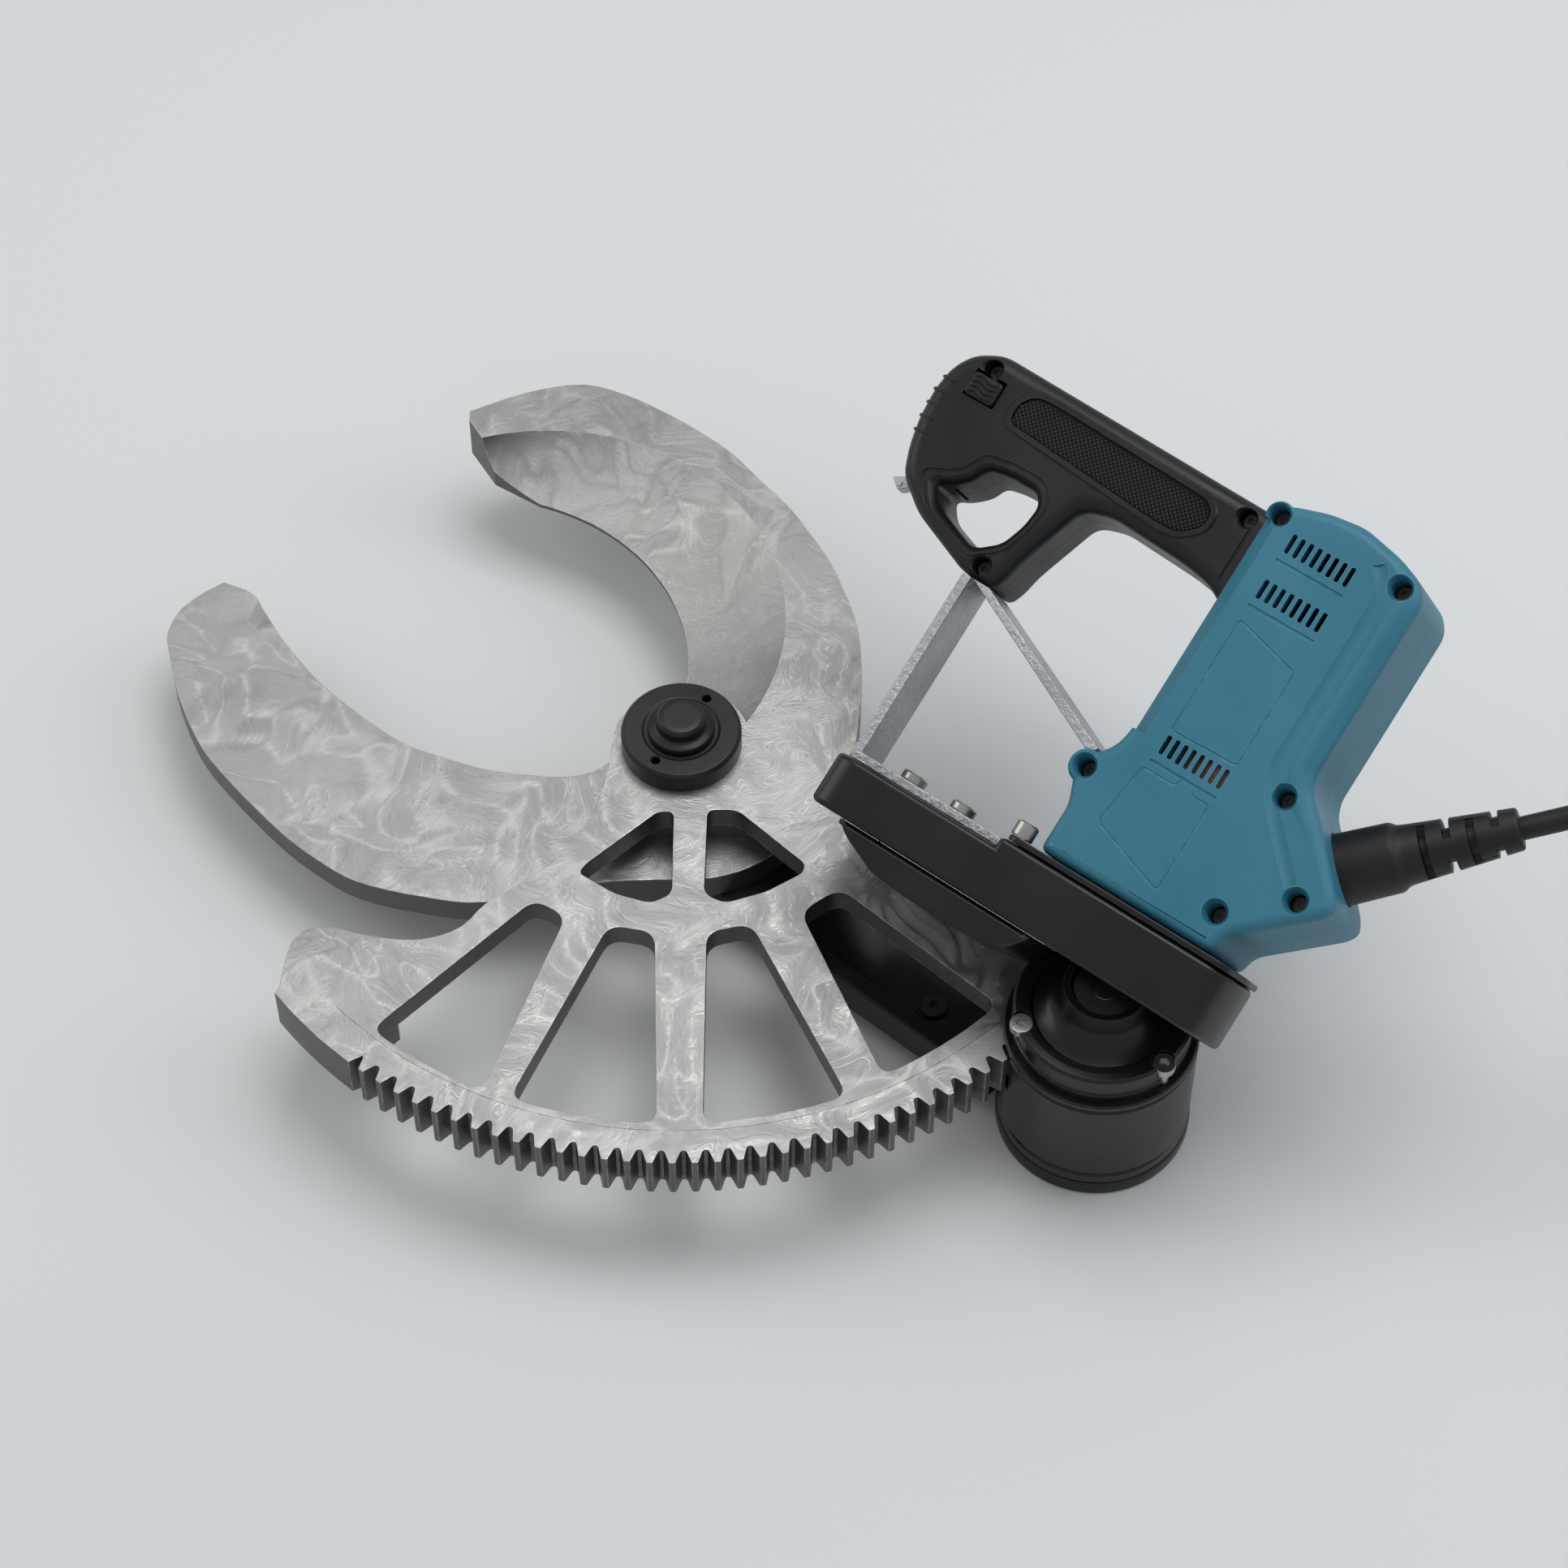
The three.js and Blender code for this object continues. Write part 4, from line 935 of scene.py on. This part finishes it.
def pinionPiece():
    teeth, pitch = sector["pinionTeeth"], sector["module"] * sector["pinionTeeth"] / 2
    base = pitch * math.cos(math.radians(20))
    root, tip = pitch - sector["dedendum"], pitch + sector["addendum"]
    atPitch = (sector["module"] * math.pi / 4 - sector["backlash"] / 2) / pitch

    def involute(angle):
        return math.tan(angle) - angle

    def half(radius):
        return atPitch + involute(math.radians(20)) - involute(math.acos(min(1, base / radius)))

    radii = [root, base] + [base + (tip - base) * i / 5 for i in range(1, 6)]
    points = []
    for i in range(teeth):
        centre = math.radians(sector["drumAngle"] + 180) + (i + 0.5) * 2 * math.pi / teeth
        for side, line in ((-1, radii), (1, radii[::-1])):
            for r in line:
                angle = centre + side * half(max(r, base))
                points.append((drumAt[0] + r * math.cos(angle), drumAt[1] + r * math.sin(angle)))
    gear = plate([points], height["movingLow"] - 0.2, height["movingHigh"], 0.25, 1)
    shaft = lathe([(0, 9), (5.4, 9), (6, 9.6), (6, 97.4), (5.4, 98), (0, 98)], drumAt, 48)
    finish(join(gear, shaft), "drivePinion", gearSteel, "pinion", ["drive_pinion"])


drumPieces()
pinionPiece()
print("drum made")


# gear case

caseSize = {"left": -60, "right": 142, "low": -70, "thick": 29, "thin": 24, "step": 24}
braceBolts = [-32, -6]


def caseOutline():
    left, right, low = caseSize["left"], caseSize["right"], caseSize["low"]
    return [(left, 0), (right - 6, 0), (right, -22), (right - 2, -50), (right - 22, low), (left + 10, low),
            (left, low + 14)]


def casePieces():
    left, thick, thin, step = (caseSize[key] for key in ("left", "thick", "thin", "step"))
    slab = casePrism(rounded(caseOutline(), 13, 8), 0, thick)
    cut(slab, block((left - 2, thin, -80), (step, 60, 10)))
    bevelled(slab, 2.6, 5, 50)
    cut(slab, alongV(rod(27, 3, 40, sides=96)), block((-48, 3, -62), (44, 20, -8)),
        block((40, 4, -50), (62, 19, -20)))
    cut(slab, placed(rod(18, 60, 104, drumAt, 96), tiltFrame.inverted()))
    for u in braceBolts:
        cut(slab, alongV(rod(3.3, 8, 60), (u, -30)))
    finish(slab, "gearCase", blackPaint, nodes=["gear_case"], place=tiltFrame)

    front = plate([rounded(frontPoints, 3)], -58, -4, 2.4, 4)
    finish(front, "gearCaseFront", blackPaint, nodes=["gear_case_front"], place=tiltFrame)

    flange = [(step + 2, 0), *caseOutline()[1:5], (step + 2, caseSize["low"])]
    lip = casePrism(rounded(flange, 6), thick + 0.3, 32)
    cut(bevelled(lip, 0.6, 2, 50), alongV(rod(25.5, 0, 60, sides=96)))
    finish(lip, "gearCaseFlange", blackPaint, nodes=["gear_case_flange"], place=tiltFrame)

    bolt = lathe([(0, 32.3), (4.6, 32.3), (5, 32.9), (5, 38.6), (4.3, 39.3), (0, 39.3)], sides=40)
    cut(bolt, prism(circle(2.4, 6), 35.3, 60))
    finish(alongV(bolt, (31, -4)), "caseBolt", screwSteel, nodes=["case_bolt"],
           place=tiltFrame)


casePieces()
print("gear case made")


# motor body

motor = {"bottom": 32.3, "deep": -68, "high": -2, "parting": -35, "cavity": 30.3}
bodyOutline = [(126, 32.3), (40, 32.3), (40, 55), (37, 62), (34, 69), (36, 76), (44, 86), (46, 94), (46, 203),
               (54, 209), (70, 214), (86, 216), (106, 212), (119, 207), (124, 200), (124, 117), (127, 110),
               (135, 103), (158, 79), (161, 73), (158, 68), (128, 42)]
bodyScrews = [(52, 203), (113, 201), (38, 72), (118, 103), (119, 48), (145, 69)]
vents = {"rows": (190, 168, 92), "left": 62.2, "pitch": 4.1, "count": 8, "wide": 2.2, "high": 9, "groove": 4}
panels = [[(62, 157), (94, 149), (94, 104), (62, 103)],
          [(60, 84), (76, 84), (77.5, 88), (82.5, 88), (84, 84), (93, 84), (93, 43), (56, 55)]]


def bodyDetail(shell):
    top = motor["high"]
    # the left edge is cut off at a slope, the right one carries a round ridge with a valley beside it
    cut(shell, casePrism([(54.5, -1), (45, -12.5), (38, -12.5), (38, 4), (54.5, 4)], 96, 200))
    ridge = flowing([(105, 207, -6.5), (113, 201, -6), (116.5, 190, -5.2), (116.8, 160, -5), (116.8, 122, -5),
                     (119, 111, -5.2), (127, 101, -6), (138, 91, -7), (149, 80, -8)], 180, 6, closed=False)
    valley = flowing([(100, 205, 1), (105.5, 198, 1), (108, 186, 1), (108.2, 160, 1), (108.2, 120, 1),
                      (110.5, 106, 1), (118, 95, 1), (130, 83, 1), (140, 73, 1)], 180, 6, closed=False)
    cut(shell, sweep(valley, 4.2, 5))
    join(shell, sweep(ridge, 4.8, 6))
    slots = []
    for v in vents["rows"]:
        for i in range(vents["count"]):
            u = vents["left"] + i * vents["pitch"]
            right, upper = u + vents["wide"], v + vents["high"]
            corners = [(u, v), (right, v), (right, upper), (u, upper)]
            slots.append(prism(rounded(corners, 1.0, 4), -16, 2))
    cut(shell, together(*slots))
    right = vents["left"] + vents["pitch"] * (vents["count"] - 1) + vents["wide"]
    cut(shell, together(*[sweep([(vents["left"] - 1, v - vents["groove"], top + 0.17),
                                 (right + 1, v - vents["groove"], top + 0.17)], 0.9) for v in vents["rows"]]))
    for panel in panels:
        line = [(p[0], p[1], top + 0.13) for p in rounded(panel, 2.2, 4)]
        cut(shell, sweep(line, 0.62, 2, closed=True))


def motorPieces():
    top = motor["high"]
    body = plate([rounded(bodyOutline, 4, 4)], motor["deep"], top, 5, 5)
    for at, radius in ((bodyScrews[0], 6.2), (bodyScrews[2], 7.6)):
        join(body, lathe([(0, motor["deep"] + 3), (radius, motor["deep"] + 3), (radius, top - 3),
                          (radius - 0.8, top - 1.2), (radius - 2, top - 0.3), (0, top - 0.3)], at, 64))
    bodyDetail(body)
    cavity = alongV(rod(motor["cavity"], 33.6, 206, sides=96))
    opening = alongV(rod(25.5, 20, 40, sides=96))
    nook = prism(rounded([(100, 50), (124, 50), (150, 72), (134, 92), (110, 100)], 6), -56, -14)
    way = lathe([(0, -9.4), (15.9, -9.4), (15.9, 24), (13.4, 26), (12.4, 62), (0, 62)], sides=96)
    placed(way, tiltFrame.inverted() @ glandPlace)
    cut(body, cavity, opening, nook, way, alongV(rod(6.2, 20, 60), (31, -4)))
    well = [(0, -60), (2, -60), (2, -18), (4.2, -18), (4.2, -5.4), (5.9, top - 0.2), (5.9, 5), (0, 5)]
    wells = [lathe(well, at, 40) for at in bodyScrews]
    cut(body, together(*wells))
    upper, lower = halves(body, motor["parting"], -50, 250)
    finish(upper, "motorShellUpper", bluePlastic, nodes=["motor_shell_upper"],
           place=tiltFrame)
    finish(lower, "motorShellLower", bluePlastic, nodes=["motor_shell_lower"],
           place=tiltFrame)
    screwSet(bodyScrews, screwSizes["housing"], "housingScrew", sunkSteel, "housing_screw", tiltFrame)


motorPieces()
print("motor body made")


# handle

grip = {"low": -55, "high": -15, "parting": -35, "edge": 7}
handleOutline = [(45.7, 204), (-96, 207), (-108, 201), (-114, 192), (-116, 180), (-115, 165), (-112, 152),
                 (-107, 140), (-92, 129), (-60, 117), (-44, 117), (-41, 124), (-39, 134), (-28, 165),
                 (-15, 169), (23, 167), (36, 165), (45.7, 160)]
guardHole = [(-91, 144), (-84, 147), (-77, 153), (-74, 160), (-64, 162), (-50, 162), (-46, 157), (-47, 147),
             (-51, 136), (-61, 128), (-85, 136)]
trigger = {"outline": [(-99.5, 150), (-94, 146.6), (-86, 146.8), (-79.5, 152), (-76, 161.5), (-79, 171),
                       (-97, 175), (-103, 165)], "hinge": (-99, 170), "press": 12}
lockOutline = [(-101.5, 183.5), (-86.5, 183.5), (-86.5, 194.5), (-101.5, 194.5)]
handleScrews = [(-96, 199), (37, 197), (-53, 123)]
inlay = [(-76, 182), (-77, 190), (-72, 197), (-63, 198), (18, 195), (23, 191), (23, 184), (15, 177), (6, 176)]
knurl = {"pitch": 2.4, "high": 0.75}


def turnedOutline(points, centre, degrees):
    turn = Matrix.Rotation(math.radians(degrees), 2)
    return [Vector(centre) + turn @ (Vector(p) - Vector(centre)) for p in points]


def knurled(points, low, high):
    # a pad of small pyramids over the outline
    pitch, us, vs = knurl["pitch"], [p[0] for p in points], [p[1] for p in points]
    bm = bmesh.new()
    corners = {}

    def corner(i, j):
        if (i, j) not in corners:
            corners[i, j] = bm.verts.new((min(us) - 4 + i * pitch / 2, min(vs) - 4 + j * pitch / 2,
                                          high - knurl["high"]))
        return corners[i, j]

    across, along = (int(2 * (max(q) - min(q) + 8) / pitch) for q in (us, vs))
    for i in range(across):
        for j in range(along):
            if (i + j) % 2 == 0:
                continue
            ring = [corner(i - 1, j), corner(i, j - 1), corner(i + 1, j), corner(i, j + 1)]
            apex = bm.verts.new((min(us) - 4 + i * pitch / 2, min(vs) - 4 + j * pitch / 2, high))
            for k in range(4):
                bm.faces.new((ring[k], ring[(k + 1) % 4], apex))
    rim = [edge for edge in bm.edges if edge.is_boundary]
    made = bmesh.ops.extrude_edge_only(bm, edges=rim)["geom"]
    for vert in made:
        if isinstance(vert, bmesh.types.BMVert):
            vert.co.z = low - 2
    bmesh.ops.contextual_create(bm, geom=[edge for edge in bm.edges if edge.is_boundary])
    return combine(newObject(bm), prism(points, low, high + 1), "INTERSECT")


def handleDetail(body):
    high, low = grip["high"], grip["low"]
    border = [Vector(p) for p in inlay]
    for level, side in ((high, 1), (low, -1)):
        wide = rounded(grown(border, 3.2), 4)
        frameRing = loft([(wide, level - side), (wide, level),
                          (rounded(grown(border, 2.4), 4), level + 0.9 * side),
                          (rounded(grown(border, 0.9), 4), level + 0.9 * side)])
        join(body, frameRing)
        cut(body, loft([(rounded(border, 4), level - 1.2 * side), (rounded(border, 4), level),
                        (rounded(grown(border, 0.5), 4), level + 2 * side)]))
    # a groove runs round inside the guard
    groove = [(p[0], p[1], high + 0.1) for p in rounded(grown(guardHole, 5.2), 5)]
    cut(body, sweep(groove, 0.9, 3, closed=True))
    # short ribs across the outer edge
    ribs = [sweep([(u, v, high - 8), (u + 0.5, v, high - 4.4), (u + 2, v, high - 2), (u + 4.4, v, high - 0.5),
                   (u + 8, v, high)], 0.8, 4)
            for u, v in ((-113.9, 160), (-115.1, 166.5), (-115.6, 173), (-116, 179.5), (-115.2, 186))]
    join(body, together(*ribs))
    # the seam where the handle meets the motor body
    cut(body, sweep([(41, 150, high), (41, 210, high)], 0.8))


def handlePieces():
    low, high = grip["low"], grip["high"]
    # drawn past the motor body and cut back, so that the end stays flat
    longer = [(62, 203.5), *handleOutline[1:-1], (62, 151)]
    turn = [math.radians(15 * i) for i in range(7)]
    edge = [(grip["edge"] * (1 - math.cos(a)), grip["edge"] * (1 - math.sin(a))) for a in turn]
    levels = [(inset, low + up) for up, inset in edge] + [(inset, high - up) for up, inset in reversed(edge)]
    body = loft([(rounded(grown(longer, -inset), 5, 5), level) for inset, level in levels])
    cut(body, block((45.7, 100, -100), (100, 260, 20)))
    flares = ((5.5, low - 2), (2.4, low + 0.6), (0.8, low + 2.4), (0, low + 5), (0, high - 5),
              (0.8, high - 2.4), (2.4, high - 0.6), (5.5, high + 2))
    hole = [(rounded(grown(guardHole, out), 4), level) for out, level in flares]
    cut(body, loft(hole))
    handleDetail(body)
    for degrees in (-1, 6, trigger["press"] + 1):
        cut(body, prism(turnedOutline(rounded(grown(trigger["outline"], 0.9), 3), trigger["hinge"], degrees),
                        -45, -25))
    cut(body, block((-70, 174, -46), (-30, 196, -24)), block((-32, 180, -42), (36, 190, -28)),
        block((-102, 183, -30), (-86, 196, -10)))
    well = [(0, -50), (1.9, -50), (1.9, -27), (4.1, -27), (4.1, high - 1.6), (5.3, high), (5.3, 5), (0, 5)]
    wells = [lathe(well, at, 40) for at in handleScrews]
    cut(body, together(*wells))
    upper, lower = halves(body, grip["parting"], -200, 200)
    finish(upper, "handleShellUpper", blackPlastic, nodes=["handle_shell_upper"],
           place=tiltFrame)
    finish(lower, "handleShellLower", blackPlastic, nodes=["handle_shell_lower"],
           place=tiltFrame)
    screwSet(handleScrews, screwSizes["handle"], "handleScrew", sunkSteel, "handle_screw", tiltFrame)
    pad = rounded(grown(inlay, -0.4), 4)
    finish(knurled(pad, high - 0.9, high + 0.6), "gripInlayUpper", gripRubber,
           nodes=["grip_inlay_upper"], place=tiltFrame, angle=12)
    mirror = Matrix.Translation((0, 0, high + low)) @ Matrix.Scale(-1, 4, (0, 0, 1))
    under = placed(knurled(pad, high - 0.9, high + 0.6), mirror)
    under.data.flip_normals()
    finish(under, "gripInlayLower", gripRubber, nodes=["grip_inlay_lower"], place=tiltFrame,
           angle=12)


def controlPieces():
    paddle = plate([rounded(trigger["outline"], 3, 4)], -44, -26, 2.4, 4)
    bar = flowing([(-98, 152.5, -27.5), (-93, 150, -26.4), (-87, 150.6, -26.2), (-82, 155, -26.2),
                   (-79.6, 162, -26.6)], 180, 5, closed=False)
    join(paddle, sweep(bar, 1.5, 5))
    finish(paddle, "trigger", blackPlastic, "trigger", ["trigger"], tiltFrame)
    button = plate([rounded(lockOutline, 2.2, 4)], -23, -13, 1.2, 3)
    waves = []
    for i in range(4):
        up = 2.4 * i
        wave = [(-100, 185.4 + up, -13), (-96.5, 186.4 + up, -12.8), (-92, 185 + up, -12.8),
                (-88, 186 + up, -13)]
        waves.append(sweep(flowing(wave, 180, 5, closed=False), 0.8, 3))
    join(button, together(*waves))
    finish(button, "lockButton", blackPlastic, "lock", ["lock_button"], tiltFrame)


brace = {"low": -45, "high": -15, "outside": -58, "inside": -53.5, "footEnd": 20, "thick": 4, "top": 116.2,
         "grooves": (-20, -40)}


def bracePieces():
    low, high, foot = brace["low"], brace["high"], caseSize["thin"] + 0.3
    outside, inside, top = brace["outside"], brace["inside"], brace["top"]
    footTop = foot + brace["thick"]
    bar = [(outside, foot), (brace["footEnd"], foot), (brace["footEnd"], footTop), (inside, footTop),
           (inside, top), (outside, top)]
    left = plate([bar], low, high, 0.6, 2)
    for u in braceBolts:
        cut(left, alongV(rod(3.3, 8, 60), (u, -30)))
    cut(left, *[sweep([(outside, foot + 8, w), (outside, 110, w)], 0.7) for w in brace["grooves"]])
    finish(left, "braceLeft", castAluminium, nodes=["brace_left"], place=tiltFrame)
    strip = plate([[(-52.8, 116.4), (33.2, 77.5), (35.2, 81.6), (-44, 116.4)]], low, high, 0.5, 2)
    finish(strip, "braceRight", castAluminium, nodes=["brace_right"], place=tiltFrame)
    for i, u in enumerate(braceBolts):
        seat = foot + 4.3
        bolt = lathe([(0, 10), (2.9, 10), (2.9, seat), (5.7, seat), (6, seat + 0.4), (6, seat + 3.2),
                      (5.3, seat + 4), (0, seat + 4)], sides=48)
        cut(bolt, prism(circle(2.8, 6), seat + 2, 60))
        finish(alongV(bolt, (u, -30)), f"braceBolt{i + 1}", screwSteel,
               nodes=[f"brace_bolt_{i + 1}"], place=tiltFrame)


handlePieces()
controlPieces()
bracePieces()
lug = plate([rounded([(-110, 134), (-104, 138.5), (-108, 142), (-115, 138)], 1)], -38, -30, 0.6, 2)
lugEye = join(lug, *[rod(1.7, -30.4, -29.2, at, 32, 1.3) for at in ((-110.5, 137), (-107, 139.2))])
finish(lugEye, "slingLug", aluminium, nodes=["sling_lug"], place=tiltFrame)
print("handle and braces made")


# inner pieces keep their CAD shape

inner = {
    "pivot_bush": brassMetal, "lower_bearing": gearSteel, "upper_bearing": gearSteel, "crown_gear": gearSteel,
    "bevel_pinion": gearSteel, "reduction_unit": gearSteel, "stator": winding, "armature": gearSteel,
    "cooling_fan": blackPlastic, "rear_bearing": gearSteel, "carbon_brush_1": brassMetal,
    "carbon_brush_2": brassMetal, "switch_module": blackPlastic,
}
for name, material in inner.items():
    for material_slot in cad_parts[name].material_slots:
        material_slot.link = "OBJECT"
        material_slot.material = material


# floor and light

def makeFloor():
    bm = bmesh.new()
    verts = [bm.verts.new((x, y, 0)) for x, y in ((-6, -6), (6, -6), (6, 6), (-6, 6))]
    bm.faces.new(verts)
    floor = newObject(bm, "floor")
    material, _, shader = newMaterial("floor")
    shader.inputs["Base Color"].default_value = (0.7, 0.715, 0.725, 1)
    shader.inputs["Roughness"].default_value = 0.65
    floor.data.materials.append(material)


def addLight(name, at, size, power, color=(1, 1, 1), aim=(0, -0.05, 0.05)):
    light = bpy.data.lights.new(name, "AREA")
    light.shape = "RECTANGLE"
    light.size, light.size_y = size
    light.energy = power
    light.color = color
    lamp = bpy.data.objects.new(name, light)
    lamp.location = at
    lamp.rotation_euler = (Vector(aim) - Vector(at)).to_track_quat("-Z", "Y").to_euler()
    scene.collection.objects.link(lamp)


makeFloor()
addLight("overhead", (0.35, 0.45, 2.3), (1.6, 1.2), 22)
addLight("left", (-1.8, 0.6, 1.2), (1.0, 1.4), 7, (1.0, 0.99, 0.97))
addLight("right", (1.6, 0.1, 1.3), (1.0, 1.2), 6, (0.97, 0.98, 1.0))
world = bpy.data.worlds.new("studio")
world.use_nodes = True
world.node_tree.nodes["Background"].inputs["Color"].default_value = (0.9, 0.92, 0.93, 1)
world.node_tree.nodes["Background"].inputs["Strength"].default_value = 0.5
scene.world = world
scene.view_settings.view_transform = "Standard"
print("light set")
